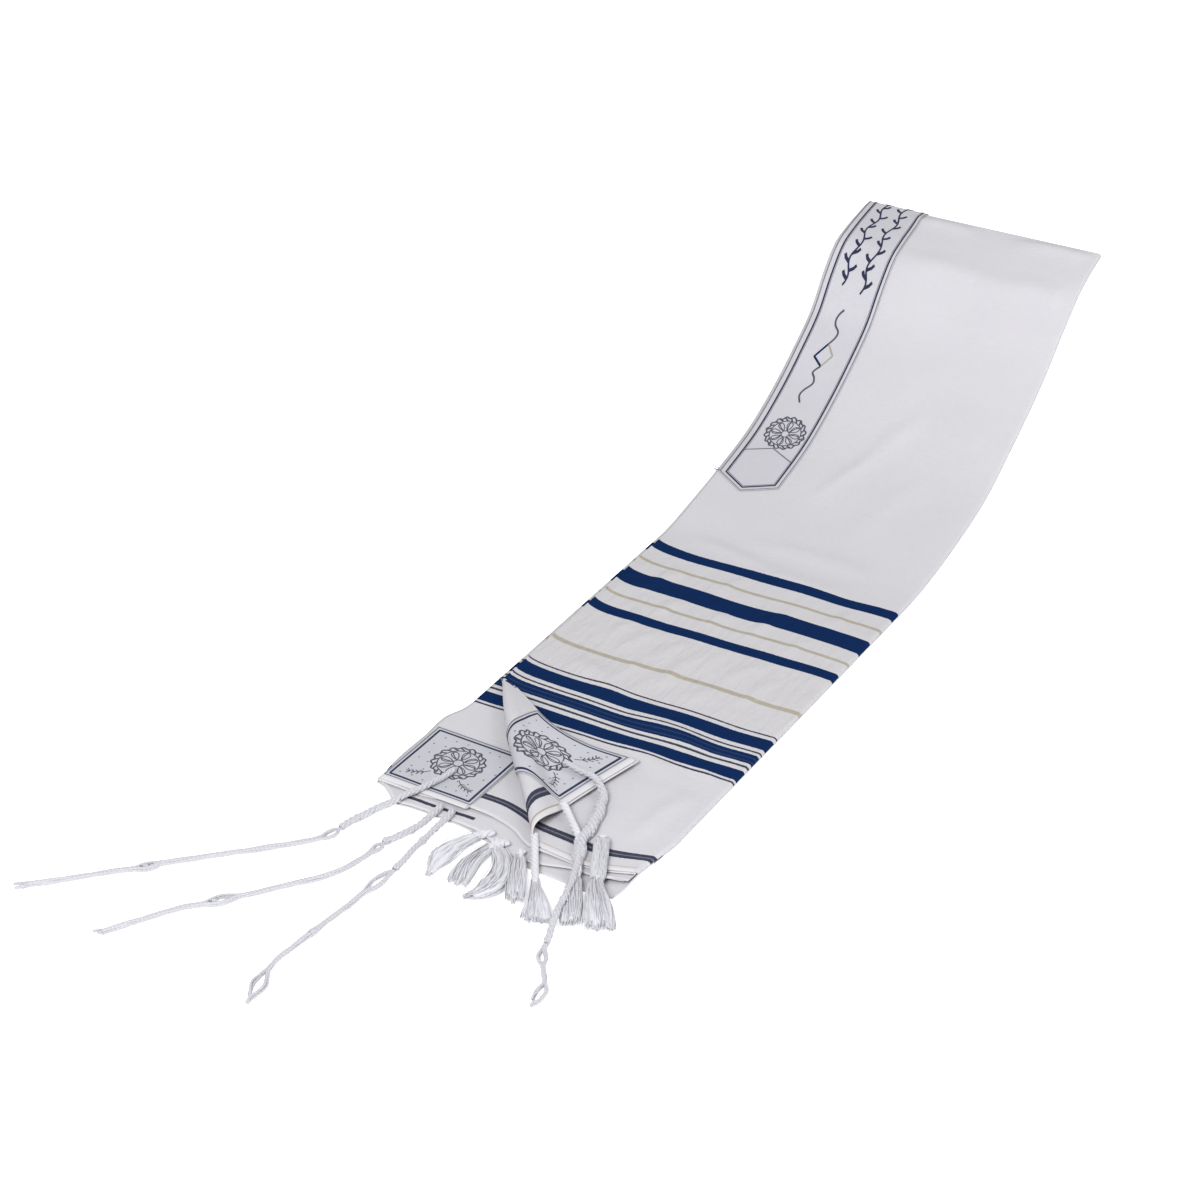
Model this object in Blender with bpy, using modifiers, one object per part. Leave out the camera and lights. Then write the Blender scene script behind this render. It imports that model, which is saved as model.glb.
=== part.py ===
"""A folded prayer shawl (tallit) lying on a surface, its far end raised in a soft S-curve.

The shawl is folded lengthwise and then crosswise, so four layers lie on each other. The top
cloth is a wall of its own, with its near left corner curled over. The three layers beneath it
share one solid, stepped and grooved at its edges. A neckband wraps the far fold, a square patch
is sewn on each corner that shows, and tassels and four corner fringes lie round the near end.

Lengths are metres. Layout coordinates: x across from the left selvage, y along from the near
end, z up. The world origin is the middle of the underside's flat stretch.
"""
import math
from collections import namedtuple

import bmesh
import bpy
from mathutils import Vector

COLLECTION = "folded_tallit"

# Cloth
FOLDED_WIDTH = 0.250
FAR_END_Y = 0.870
ORIGIN_Y = 0.220
WALL = 0.0015
LAYERS_HEIGHT = 0.0050
LAYER_GAP = 0.0005
SEAM_GAP = 0.0003
PATCH_WALL = 0.0010
STACK_HEIGHT = LAYERS_HEIGHT + LAYER_GAP + WALL
EDGE_RADIUS = STACK_HEIGHT / 2
RIM_RADIUS = EDGE_RADIUS - WALL / 2
TOP_HEIGHT = STACK_HEIGHT - WALL / 2
FLAT_RIGHT_X = FOLDED_WIDTH - EDGE_RADIUS
FLAT_FAR_Y = FAR_END_Y - EDGE_RADIUS
RIM_STEPS = 3
QUARTER = math.pi / 2

# How far the underside is lifted off the surface, along the left and right edges.
Rise = namedtuple("Rise", "y left right")
RISE = (
    Rise(0.460, 0.000, 0.000),
    Rise(0.520, 0.008, 0.005),
    Rise(0.580, 0.020, 0.017),
    Rise(0.630, 0.033, 0.032),
    Rise(0.680, 0.056, 0.059),
    Rise(0.720, 0.081, 0.083),
    Rise(0.755, 0.107, 0.108),
    Rise(0.780, 0.139, 0.130),
    Rise(0.800, 0.159, 0.146),
    Rise(0.820, 0.166, 0.161),
    Rise(0.845, 0.171, 0.173),
    Rise(0.870, 0.175, 0.181),
)
RAISED_ROWS = (
    0.460, 0.490, 0.520, 0.550, 0.580, 0.605, 0.630, 0.655, 0.680, 0.700, 0.720, 0.738, 0.755,
    0.768, 0.780, 0.790, 0.800, 0.810, 0.820, 0.832, 0.845, 0.857,
)

# Where each layer's woven end lies, across the cloth.
EndLine = namedtuple("EndLine", "x upper lower")
END_LINES = (
    EndLine(-0.020, -0.0030, -0.0040),
    EndLine(-0.004, -0.0037, -0.0064),
    EndLine(0.018, -0.0052, -0.0222),
    EndLine(0.052, -0.0073, -0.0228),
    EndLine(0.084, -0.0100, -0.0236),
    EndLine(0.104, -0.0127, -0.0262),
    EndLine(0.126, -0.0164, -0.0350),
    EndLine(0.150, -0.0200, -0.0430),
    EndLine(0.200, -0.0240, -0.0475),
    EndLine(0.225, -0.0200, -0.0480),
    EndLine(0.250, -0.0100, -0.0440),
)

# How far the lower layers stand out past the top cloth's selvage.
Bulge = namedtuple("Bulge", "y out")
BULGES = (
    Bulge(-0.060, 0.0080),
    Bulge(0.000, 0.0110),
    Bulge(0.020, 0.0145),
    Bulge(0.040, 0.0155),
    Bulge(0.075, 0.0145),
    Bulge(0.100, 0.0150),
    Bulge(0.122, 0.0060),
    Bulge(0.150, 0.0045),
    Bulge(0.460, 0.0040),
    Bulge(0.870, 0.0020),
)

# How far the right fold draws in, for each metre that a lower layer's end passes the panel's.
NEAR_PULL = 0.15

# The curled corner: its creases fan out from a point just outside the selvage.
FOLD_ON_SELVAGE_Y = 0.175
FOLD_APEX_OUT = 0.050
FOLD_LINE_ANGLE = math.radians(53.5)
BEND_START = math.radians(51.3)
FLAP_MIDDLE = math.radians(6.0)
FLAP_SELVAGE = math.radians(25.0)
APEX_X = -FOLD_APEX_OUT * math.cos(FOLD_LINE_ANGLE)
APEX_Y = FOLD_ON_SELVAGE_Y + FOLD_APEX_OUT * math.sin(FOLD_LINE_ANGLE)

# Heights of the curl above the panel, by distance from the apex, and how far the flap swings.
Curl = namedtuple("Curl", "distance roll middle selvage swing")
CURLS = (
    Curl(0.05, 0.0060, 0.005, 0.004, 0.0),
    Curl(0.10, 0.0140, 0.014, 0.009, -6.0),
    Curl(0.14, 0.0180, 0.017, 0.012, -8.0),
    Curl(0.18, 0.0170, 0.011, 0.009, -3.5),
    Curl(0.22, 0.0145, 0.006, 0.006, 1.0),
    Curl(0.27, 0.0130, 0.004, 0.005, 1.0),
)
CURL_CREASES_DEG = (0.0, 1.0, 2.0, 3.2, 4.4, 5.6, 7.0, 8.6, 10.4, 12.5, 15.5, 19.0, 23.0, 27.5)

# Corner patches
PATCH_SIDE = 0.088
PATCH_MARGIN = 0.002
LOWER_PATCH_LEFT_X = -0.0105
LOWER_PATCH_NEAR_Y = -0.0030
LOWER_PATCH_TURN = math.radians(-1.3)
LOWER_PATCH_CLIP = math.radians(2.6)
UPPER_PATCH_CLIP_DEG = 2.0

# Neckband
BAND_LEFT_X = 0.0010
BAND_RIGHT_X = 0.0610
BAND_TIP_Y = 0.555
BAND_SHOULDER = 0.018

# Fringe
NECK_RADIUS = 0.0022
KNOT_RADIUS = 0.0038
TASSEL_STRANDS = 14
TASSEL_DEPTH = 0.0048
STRAND_RADIUS = 0.00085
ROOT_RADIUS = 0.00040
CORNER_STRANDS = 8
STRAND_FLOOR_GAP = 0.0010
CORD_RADIUS = 0.0024


def hermite(xs, ys, x):
    """Smooth curve through a table, held level before it and straight after it."""
    slopes = [0.0] * len(xs)
    for i in range(1, len(xs) - 1):
        slopes[i] = (ys[i + 1] - ys[i - 1]) / (xs[i + 1] - xs[i - 1])
    slopes[-1] = (ys[-1] - ys[-2]) / (xs[-1] - xs[-2])
    if x <= xs[0]:
        return ys[0]
    if x >= xs[-1]:
        return ys[-1] + slopes[-1] * (x - xs[-1])
    i = max(k for k in range(len(xs) - 1) if xs[k] <= x)
    span = xs[i + 1] - xs[i]
    t = (x - xs[i]) / span
    value = ys[i] * (1 + 2 * t) * (1 - t) ** 2 + ys[i + 1] * t * t * (3 - 2 * t)
    return value + span * t * (1 - t) * (slopes[i] * (1 - t) - slopes[i + 1] * t)


def column(table, name):
    return [getattr(row, name) for row in table]


def end_line(x, layer):
    return hermite(column(END_LINES, "x"), column(END_LINES, layer), x)


def underside(x, y):
    """Height of the stack's underside above the surface."""
    ys = column(RISE, "y")
    across = min(max(x / FOLDED_WIDTH, 0.0), 1.0)
    left = hermite(ys, column(RISE, "left"), y)
    right = hermite(ys, column(RISE, "right"), y)
    return left * (1 - across) + right * across


def world(x, y, z):
    return Vector((x - FOLDED_WIDTH / 2, y - ORIGIN_Y, z))


def stack_point(x, y, height):
    """World point at a height measured square to the stack's underside."""
    step = 0.001
    slope_x = (underside(x + step, y) - underside(x - step, y)) / (2 * step)
    slope_y = (underside(x, y + step) - underside(x, y - step)) / (2 * step)
    normal = Vector((-slope_x, -slope_y, 1.0)).normalized()
    return world(x, y, underside(x, y)) + normal * height


def curl_at(distance):
    distances = column(CURLS, "distance")
    distance = min(max(distance, distances[0]), distances[-1])
    return Curl(distance, *(hermite(distances, column(CURLS, name), distance)
                            for name in Curl._fields[1:]))


def flap_height(curl, past_bend):
    """Height of the turned-over cloth above the panel, past the end of the bend."""
    ease = min(past_bend / FLAP_MIDDLE, 1.0)
    ease = ease * ease * (3 - 2 * ease)
    out = min(max((past_bend - FLAP_MIDDLE) / (FLAP_SELVAGE - FLAP_MIDDLE), 0.0), 1.0)
    settled = curl.middle * (1 - out) + curl.selvage * out
    return curl.roll * (1 - ease) + settled * ease


def curled_point(x, y):
    """World point of the top cloth's middle where the corner is curled over."""
    distance = math.hypot(x - APEX_X, APEX_Y - y)
    past_start = math.atan2(APEX_Y - y, x - APEX_X) - BEND_START
    curl = curl_at(distance)
    radius = curl.roll / 2
    bend = math.pi * radius / distance
    if past_start <= bend:
        turn = past_start * distance / radius
        heading = BEND_START + radius / distance * math.sin(turn)
        height = radius * (1 - math.cos(turn))
    else:
        past_bend = past_start - bend
        steps = 24
        heading = BEND_START
        before = curl.roll / distance
        for k in range(1, steps + 1):
            after = flap_height(curl, past_bend * k / steps) / distance
            heading -= math.sqrt(max((past_bend / steps) ** 2 - (after - before) ** 2, 0.0))
            before = after
        heading -= math.radians(curl.swing) * min(past_bend / FLAP_SELVAGE, 1.0)
        height = flap_height(curl, past_bend)
    level = math.sqrt(distance ** 2 - height ** 2)
    return world(APEX_X + level * math.cos(heading), APEX_Y - level * math.sin(heading),
                 TOP_HEIGHT + height)


def is_curled(x, y):
    return y < APEX_Y and math.atan2(APEX_Y - y, x - APEX_X) > BEND_START


def top_cloth_point(x, y):
    """World point of the top cloth's middle; past the flat panel it rounds the folded edges."""
    if is_curled(x, y):
        return curled_point(x, y)
    turn_x = max(0.0, (x - FLAT_RIGHT_X) / RIM_RADIUS)
    turn_y = max(0.0, (y - FLAT_FAR_Y) / RIM_RADIUS)
    turn = max(turn_x, turn_y, 1e-9)
    heading = math.pi / 4 * (turn_y / turn + 1 - turn_x / turn)
    return stack_point(min(x, FLAT_RIGHT_X) + RIM_RADIUS * math.sin(turn) * math.cos(heading),
                       min(y, FLAT_FAR_Y) + RIM_RADIUS * math.sin(turn) * math.sin(heading),
                       EDGE_RADIUS + RIM_RADIUS * math.cos(turn))


def top_cloth_offset(x, y, lift):
    """Point moved off the top cloth's middle, along its upper face's normal."""
    step = 0.0005
    along_x = top_cloth_point(x + step, y) - top_cloth_point(x - step, y)
    along_y = top_cloth_point(x, y + step) - top_cloth_point(x, y - step)
    return top_cloth_point(x, y) + along_x.cross(along_y).normalized() * lift


# Building blocks

def material(name, colour, roughness):
    made = bpy.data.materials.new(name)
    made.use_nodes = True
    shader = made.node_tree.nodes["Principled BSDF"]
    shader.inputs["Base Color"].default_value = (*colour, 1.0)
    shader.inputs["Roughness"].default_value = roughness
    shader.inputs["Metallic"].default_value = 0.0
    return made


def add_object(name, bm, finish, collection):
    bmesh.ops.triangulate(bm, faces=bm.faces[:], quad_method="FIXED")
    mesh = bpy.data.meshes.new(name)
    bm.to_mesh(mesh)
    bm.free()
    mesh.materials.append(finish)
    made = bpy.data.objects.new(name, mesh)
    collection.objects.link(made)
    return made


def thicken(cloth, wall):
    shell = cloth.modifiers.new("wall", "SOLIDIFY")
    shell.thickness = wall
    shell.offset = 0.0
    shell.use_even_offset = False
    shell.use_quality_normals = True


def layout_grid(xs, rows):
    """Flat grid of quads; rows are functions of x, so that a row can follow a slanted end."""
    bm = bmesh.new()
    across, along = len(xs) - 1, len(rows) - 1
    bmesh.ops.create_grid(bm, x_segments=across, y_segments=along, size=0.5)
    for vert in bm.verts:
        x = xs[round((vert.co.x + 0.5) * across)]
        row = rows[round((vert.co.y + 0.5) * along)]
        vert.co = Vector((x, row(x), 0.0))
    return bm


def level_rows(ys):
    return [lambda x, y=y: y for y in ys]


def crease(bm, angle, keep_far=False):
    """Cut the grid along a ray from the curl's apex; keep_far drops what lies before it."""
    geometry = bm.verts[:] + bm.edges[:] + bm.faces[:]
    bmesh.ops.bisect_plane(bm, geom=geometry, dist=1e-7, plane_co=(APEX_X, APEX_Y, 0.0),
                           plane_no=(math.sin(angle), math.cos(angle), 0.0),
                           clear_outer=keep_far)


def evenly(start, stop, count):
    return [start + (stop - start) * i / count for i in range(count + 1)]


# Cloth pieces

def top_cloth_lattice():
    """Flat grid of the top cloth, cut along the curl's creases and the corner patch's sides."""
    patch_end = PATCH_MARGIN + PATCH_SIDE
    xs = [0.0] + evenly(PATCH_MARGIN, patch_end, 4) + [0.129, 0.168, 0.207, FLAT_RIGHT_X]
    xs += [FLAT_RIGHT_X + RIM_RADIUS * QUARTER * k / RIM_STEPS for k in range(1, RIM_STEPS + 1)]
    rows = [lambda x, v=v: end_line(x, "upper") + v
            for v in [0.0] + evenly(PATCH_MARGIN, patch_end, 5)]
    ys = [0.104, 0.122, 0.140, 0.158, 0.175, 0.200, 0.250, 0.320, 0.400] + list(RAISED_ROWS)
    ys += [FLAT_FAR_Y]
    ys += [FLAT_FAR_Y + RIM_RADIUS * QUARTER * k / RIM_STEPS for k in range(1, RIM_STEPS + 1)]
    bm = layout_grid(xs, rows + level_rows(ys))
    for past in CURL_CREASES_DEG:
        crease(bm, BEND_START + math.radians(past))
    bmesh.ops.remove_doubles(bm, verts=bm.verts[:], dist=0.0012)
    bmesh.ops.triangulate(bm, faces=bm.faces[:], quad_method="FIXED")
    return bm


def make_top_cloth(finish, collection):
    bm = top_cloth_lattice()
    for vert in bm.verts:
        vert.co = top_cloth_point(vert.co.x, vert.co.y)
    thicken(add_object("top_cloth", bm, finish, collection), WALL)


# One row for each turn of the hidden layers' edge, from the underside to the top.
Ring = namedtuple("Ring", "height setback layer")
GROOVE = 0.0015
EASE = 0.0006
RINGS = (
    Ring(0.0000, EASE, "lower"),
    Ring(0.0004, 0.0000, "lower"),
    Ring(0.0012, 0.0000, "lower"),
    Ring(0.0016, GROOVE, "lower"),
    Ring(0.0020, 0.0004, "lower"),
    Ring(0.0028, 0.0004, "lower"),
    Ring(0.0031, GROOVE, "lower"),
    Ring(0.0033, GROOVE, "lower"),
    Ring(0.0037, 0.0000, "upper"),
    Ring(0.0045, 0.0000, "upper"),
    Ring(LAYERS_HEIGHT, EASE, "upper"),
)
SHELF_RING = 7


def folded_inset(height, ring_index):
    """How far a ring stands in from the outermost point of the right and far folds."""
    drop = EDGE_RADIUS - height
    if ring_index < SHELF_RING:
        return EDGE_RADIUS - math.sqrt(max(EDGE_RADIUS ** 2 - drop ** 2, 0.0))
    inner = EDGE_RADIUS - WALL - LAYER_GAP
    return EDGE_RADIUS - math.sqrt(max(inner ** 2 - drop ** 2, 0.0))


def make_folded_layers(finish, collection):
    """The three lower layers: a grid raised ring by ring, stepped in where a layer ends."""
    columns = 16
    ys = [0.010, 0.040, 0.070, 0.090, 0.105, 0.122, 0.150, 0.250, 0.350] + list(RAISED_ROWS)
    last_row = len(ys) + 1
    corner = 1 - math.sqrt(0.5)
    bm = bmesh.new()
    bmesh.ops.create_grid(bm, x_segments=columns, y_segments=last_row, size=0.5)
    bmesh.ops.reverse_faces(bm, faces=bm.faces[:])
    column_tag = bm.verts.layers.int.new("column")
    row_tag = bm.verts.layers.int.new("row")
    for vert in bm.verts:
        vert[column_tag] = round((vert.co.x + 0.5) * columns)
        vert[row_tag] = round((vert.co.y + 0.5) * last_row)

    def place(verts, index):
        ring = RINGS[index]
        inset = folded_inset(ring.height, index)
        for vert in verts:
            row = vert[row_tag]
            across = vert[column_tag] / columns
            y = ys[min(max(row - 1, 0), len(ys) - 1)]
            right = FOLDED_WIDTH - inset
            if row == last_row:
                y = FAR_END_Y - inset
            if row == last_row and across == 1:
                y -= corner * (EDGE_RADIUS - inset)
                right -= corner * (EDGE_RADIUS - inset)
            left = ring.setback - hermite(column(BULGES, "y"), column(BULGES, "out"), y)
            x = left * (1 - across) + right * across
            if row == 0:
                y = end_line(x, ring.layer) + ring.setback
                x -= NEAR_PULL * across * max(ys[0] - y, 0.0)
            vert.co = stack_point(x, y, ring.height)

    place(bm.verts, 0)
    cap = bm.faces[:] + bm.edges[:]
    for index in range(1, len(RINGS)):
        cap = bmesh.ops.extrude_face_region(bm, geom=cap)["geom"]
        place([item for item in cap if isinstance(item, bmesh.types.BMVert)], index)
    bmesh.ops.recalc_face_normals(bm, faces=bm.faces[:])
    add_object("folded_layers", bm, finish, collection)


def make_lower_patch(finish, collection):
    """The patch on the second layer, which lies flat beside the curl."""
    rows = level_rows(evenly(0.0, PATCH_SIDE, 4))
    bm = layout_grid(evenly(0.0, PATCH_SIDE, 4), rows)
    turn_cos, turn_sin = math.cos(LOWER_PATCH_TURN), math.sin(LOWER_PATCH_TURN)
    for vert in bm.verts:
        x, y = vert.co.x, vert.co.y
        vert.co.x = LOWER_PATCH_LEFT_X + x * turn_cos - y * turn_sin
        vert.co.y = LOWER_PATCH_NEAR_Y + x * turn_sin + y * turn_cos
    crease(bm, BEND_START + LOWER_PATCH_CLIP, keep_far=True)
    height = LAYERS_HEIGHT + SEAM_GAP + PATCH_WALL / 2
    for vert in bm.verts:
        vert.co = stack_point(vert.co.x, vert.co.y, height)
    thicken(add_object("lower_corner_patch", bm, finish, collection), PATCH_WALL)


def make_upper_patch(finish, collection):
    """The patch on the curled corner, up to where it passes beneath the roll."""
    bm = top_cloth_lattice()
    clip = BEND_START + math.radians(UPPER_PATCH_CLIP_DEG)

    def is_patch(face):
        x, y, _ = face.calc_center_median()
        up = y - end_line(x, "upper")
        inside = PATCH_MARGIN < min(x, up) and max(x, up) < PATCH_MARGIN + PATCH_SIDE
        return inside and math.atan2(APEX_Y - y, x - APEX_X) > clip

    spare = [face for face in bm.faces if not is_patch(face)]
    bmesh.ops.delete(bm, geom=spare, context="FACES")
    lift = -(WALL / 2 + SEAM_GAP + PATCH_WALL / 2)
    for vert in bm.verts:
        vert.co = top_cloth_offset(vert.co.x, vert.co.y, lift)
    thicken(add_object("upper_corner_patch", bm, finish, collection), PATCH_WALL)


def make_neckband(finish, collection):
    """The band along the selvage, pointed at both ends and wrapped round the far fold."""
    radius = EDGE_RADIUS + SEAM_GAP + PATCH_WALL / 2
    middle = (BAND_LEFT_X + BAND_RIGHT_X) / 2
    half = (BAND_RIGHT_X - BAND_LEFT_X) / 2
    wrap = math.pi * radius

    def tip(x):
        return BAND_TIP_Y + BAND_SHOULDER * abs(x - middle) / half

    top_ys = [y for y in RAISED_ROWS if y > BAND_TIP_Y + BAND_SHOULDER] + [FLAT_FAR_Y]
    turns = [FLAT_FAR_Y + wrap * k / 6 for k in range(1, 6)]
    under_ys = [2 * FLAT_FAR_Y + wrap - y for y in reversed(top_ys)]
    rows = [tip] + level_rows(top_ys + turns + under_ys)
    rows += [lambda x: 2 * FLAT_FAR_Y + wrap - tip(x)]
    bm = layout_grid(evenly(BAND_LEFT_X, BAND_RIGHT_X, 4), rows)
    for vert in bm.verts:
        x, along = vert.co.x, vert.co.y
        turn = min(max((along - FLAT_FAR_Y) / radius, 0.0), math.pi)
        y = FLAT_FAR_Y + radius * math.sin(turn)
        if along < FLAT_FAR_Y:
            y = along
        elif along > FLAT_FAR_Y + wrap:
            y = 2 * FLAT_FAR_Y + wrap - along
        vert.co = stack_point(x, y, EDGE_RADIUS + radius * math.cos(turn))
    thicken(add_object("neckband", bm, finish, collection), PATCH_WALL)


# Fringe

def smooth_route(points, spacing):
    """Points about a spacing apart on a Catmull-Rom curve through a route."""
    ends = [points[0] * 2 - points[1]] + points + [points[-1] * 2 - points[-2]]
    dense = []
    for a, b, c, d in zip(ends, ends[1:], ends[2:], ends[3:]):
        for k in range(16):
            t = k / 16
            dense.append(0.5 * (2 * b + (c - a) * t + (2 * a - 5 * b + 4 * c - d) * t * t
                                + (3 * b - a - 3 * c + d) * t ** 3))
    dense.append(points[-1])
    total = sum((b - a).length for a, b in zip(dense, dense[1:]))
    count = max(2, round(total / spacing))
    route, travelled, target = [dense[0]], 0.0, total / count
    for a, b in zip(dense, dense[1:]):
        length = (b - a).length
        while length > 0 and travelled + length >= target * len(route) and len(route) < count:
            route.append(a.lerp(b, (target * len(route) - travelled) / length))
        travelled += length
    return route + [dense[-1]]


def frames(route):
    """A sideways and an upward direction square to the route at each of its points."""
    made = []
    for i in range(len(route)):
        along = route[min(i + 1, len(route) - 1)] - route[max(i - 1, 0)]
        side = along.cross(Vector((0, 0, 1))).normalized()
        made.append((side, side.cross(along).normalized()))
    return made


def extend(bm, face, points):
    """Draw a face out to new corner points and return the moved face."""
    face = bmesh.ops.extrude_discrete_faces(bm, faces=[face])["faces"][0]
    for vert, point in zip(face.verts, points):
        vert.co = point
    return face


def cord_with_strands(name, route, radii, tails, finish, collection):
    """A cord swept along a route whose end splits into strands, one for each tail.

    A tail is a list of (centre, radius); the strands leave the cord in the tails' order.
    """
    sides = len(tails)
    bm = bmesh.new()
    bmesh.ops.create_circle(bm, cap_ends=True, segments=sides, radius=1.0)
    bm.faces.ensure_lookup_table()
    face = bm.faces[0]
    directions = frames(route)

    def ring(i):
        side, up = directions[i]
        angles = [2 * math.pi * (k + 0.5) / sides for k in range(sides)]
        return [route[i] + (side * math.cos(a) + up * math.sin(a)) * radii[i] for a in angles]

    for vert, point in zip(face.verts, ring(0)):
        vert.co = point
    base = face.copy()
    for i in range(1, len(route)):
        face = extend(bm, face, ring(i))
    base.normal_flip()
    cells = bmesh.ops.poke(bm, faces=[face])["faces"]
    bmesh.ops.inset_individual(bm, faces=cells, thickness=radii[-1] / sides)
    side, up = directions[-1]
    for cell in cells:
        middle = cell.calc_center_median()
        away = middle - route[-1]
        angle = math.atan2(away.dot(up), away.dot(side)) % (2 * math.pi)
        tail = tails[int(angle / (2 * math.pi) * sides + 0.5) % sides]
        corner = cell.verts[0].co - middle
        start = math.atan2(corner.dot(up), corner.dot(side))
        second = cell.verts[1].co - middle
        step = math.atan2(second.dot(up), second.dot(side)) - start
        turn = 2 * math.pi / 3 if step % (2 * math.pi) < math.pi else -2 * math.pi / 3
        for centre, radius in tail:
            corners = [start + turn * k for k in range(3)]
            cell = extend(bm, cell, [centre + (side * math.cos(a) + up * math.sin(a)) * radius
                                     for a in corners])
    bmesh.ops.remove_doubles(bm, verts=bm.verts[:], dist=1e-7)
    bmesh.ops.recalc_face_normals(bm, faces=bm.faces[:])
    add_object(name, bm, finish, collection)


def flat_ring(count, half_width, half_depth):
    """Places of the strands across a bundle, in order round a flattened ring."""
    places = []
    for k in range(count):
        angle = 2 * math.pi * k / count
        out = half_width * (1 - 2 * min(angle, 2 * math.pi - angle) / math.pi)
        places.append((out, half_depth * max(-1.0, min(1.0, 1.6 * math.sin(angle)))))
    return places


def make_tassel(name, root, tip, brush, fan, knot_z, rest_height, finish, collection):
    """A short neck, a knot and a fan of strands; rest_height is what the fan lies on."""
    along = tip - root
    along.z = 0.0
    reach = along.length
    along.normalize()
    fan_z = rest_height + STRAND_FLOOR_GAP + TASSEL_DEPTH / 2 + STRAND_RADIUS
    neck = reach - brush

    def at(distance, z):
        return Vector((root.x + along.x * distance, root.y + along.y * distance, z))

    stations = ((0.0, root.z, NECK_RADIUS), (0.45 * neck, (root.z + knot_z) / 2, NECK_RADIUS),
                (0.75 * neck, knot_z, NECK_RADIUS), (0.90 * neck, knot_z, KNOT_RADIUS),
                (neck, knot_z, 0.9 * KNOT_RADIUS))
    route = [at(distance, z) for distance, z, _ in stations]
    side = along.cross(Vector((0, 0, 1)))
    tails = []
    near = flat_ring(TASSEL_STRANDS, 0.0052, 0.0015)
    far = flat_ring(TASSEL_STRANDS, fan / 2, TASSEL_DEPTH / 2)
    for k in range(TASSEL_STRANDS):
        length = reach - neck - 0.003 * abs(math.sin(2.4 * k))
        start = at(neck + 0.006, knot_z) + side * near[k][0] + Vector((0, 0, near[k][1]))
        end = at(neck + length, fan_z) + side * far[k][0] + Vector((0, 0, far[k][1]))
        middle = start.lerp(end, 0.5)
        tails.append([(start, ROOT_RADIUS), (middle, STRAND_RADIUS), (end, STRAND_RADIUS)])
    radii = [radius for _, _, radius in stations]
    cord_with_strands(name, route, radii, tails, finish, collection)


# Tassels along the woven ends: where each is rooted, and where its fan ends.
Tassel = namedtuple("Tassel", "layer root_x tip_x tip_y brush fan")
TASSELS = (
    Tassel("lower", 0.105, 0.094, -0.091, 0.036, 0.013),
    Tassel("lower", 0.119, 0.122, -0.094, 0.038, 0.018),
    Tassel("lower", 0.133, 0.143, -0.103, 0.042, 0.014),
    Tassel("lower", 0.148, 0.174, -0.092, 0.040, 0.018),
    Tassel("lower", 0.168, 0.204, -0.103, 0.046, 0.026),
    Tassel("upper", 0.206, 0.232, -0.094, 0.044, 0.018),
    Tassel("upper", 0.222, 0.258, -0.090, 0.044, 0.026),
)
LOWER_ROOT_Z = 0.0031
LOWER_KNOT_Z = 0.0050
UPPER_ROOT_Z = 0.0080
UPPER_KNOT_Z = 0.0096

# The tassel at the patch's corner on the curled end; it lies on the top cloth.
FLAP_TASSEL = Tassel("flap", 0.090, 0.178, -0.018, 0.030, 0.011)
FLAP_KNOT_Z = 0.0122


def make_tassels(finish, collection):
    gap = NECK_RADIUS + SEAM_GAP
    for number, row in enumerate(TASSELS, 1):
        upper = row.layer == "upper"
        root_z, knot_z = (UPPER_ROOT_Z, UPPER_KNOT_Z) if upper else (LOWER_ROOT_Z, LOWER_KNOT_Z)
        root = world(row.root_x, end_line(row.root_x, row.layer) - gap, root_z)
        make_tassel(f"end_tassel_{number}", root, world(row.tip_x, row.tip_y, 0.0), row.brush,
                    row.fan, knot_z, 0.0, finish, collection)
    row = FLAP_TASSEL
    edge = end_line(row.root_x, "upper")
    inner = top_cloth_point(row.root_x, edge + 0.001)
    outward = (top_cloth_point(row.root_x, edge) - inner).normalized()
    root = inner + outward * (0.001 + gap)
    make_tassel("flap_tassel", root, world(row.tip_x, row.tip_y, 0.0), row.brush, row.fan,
                FLAP_KNOT_Z, STACK_HEIGHT, finish, collection)


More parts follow.
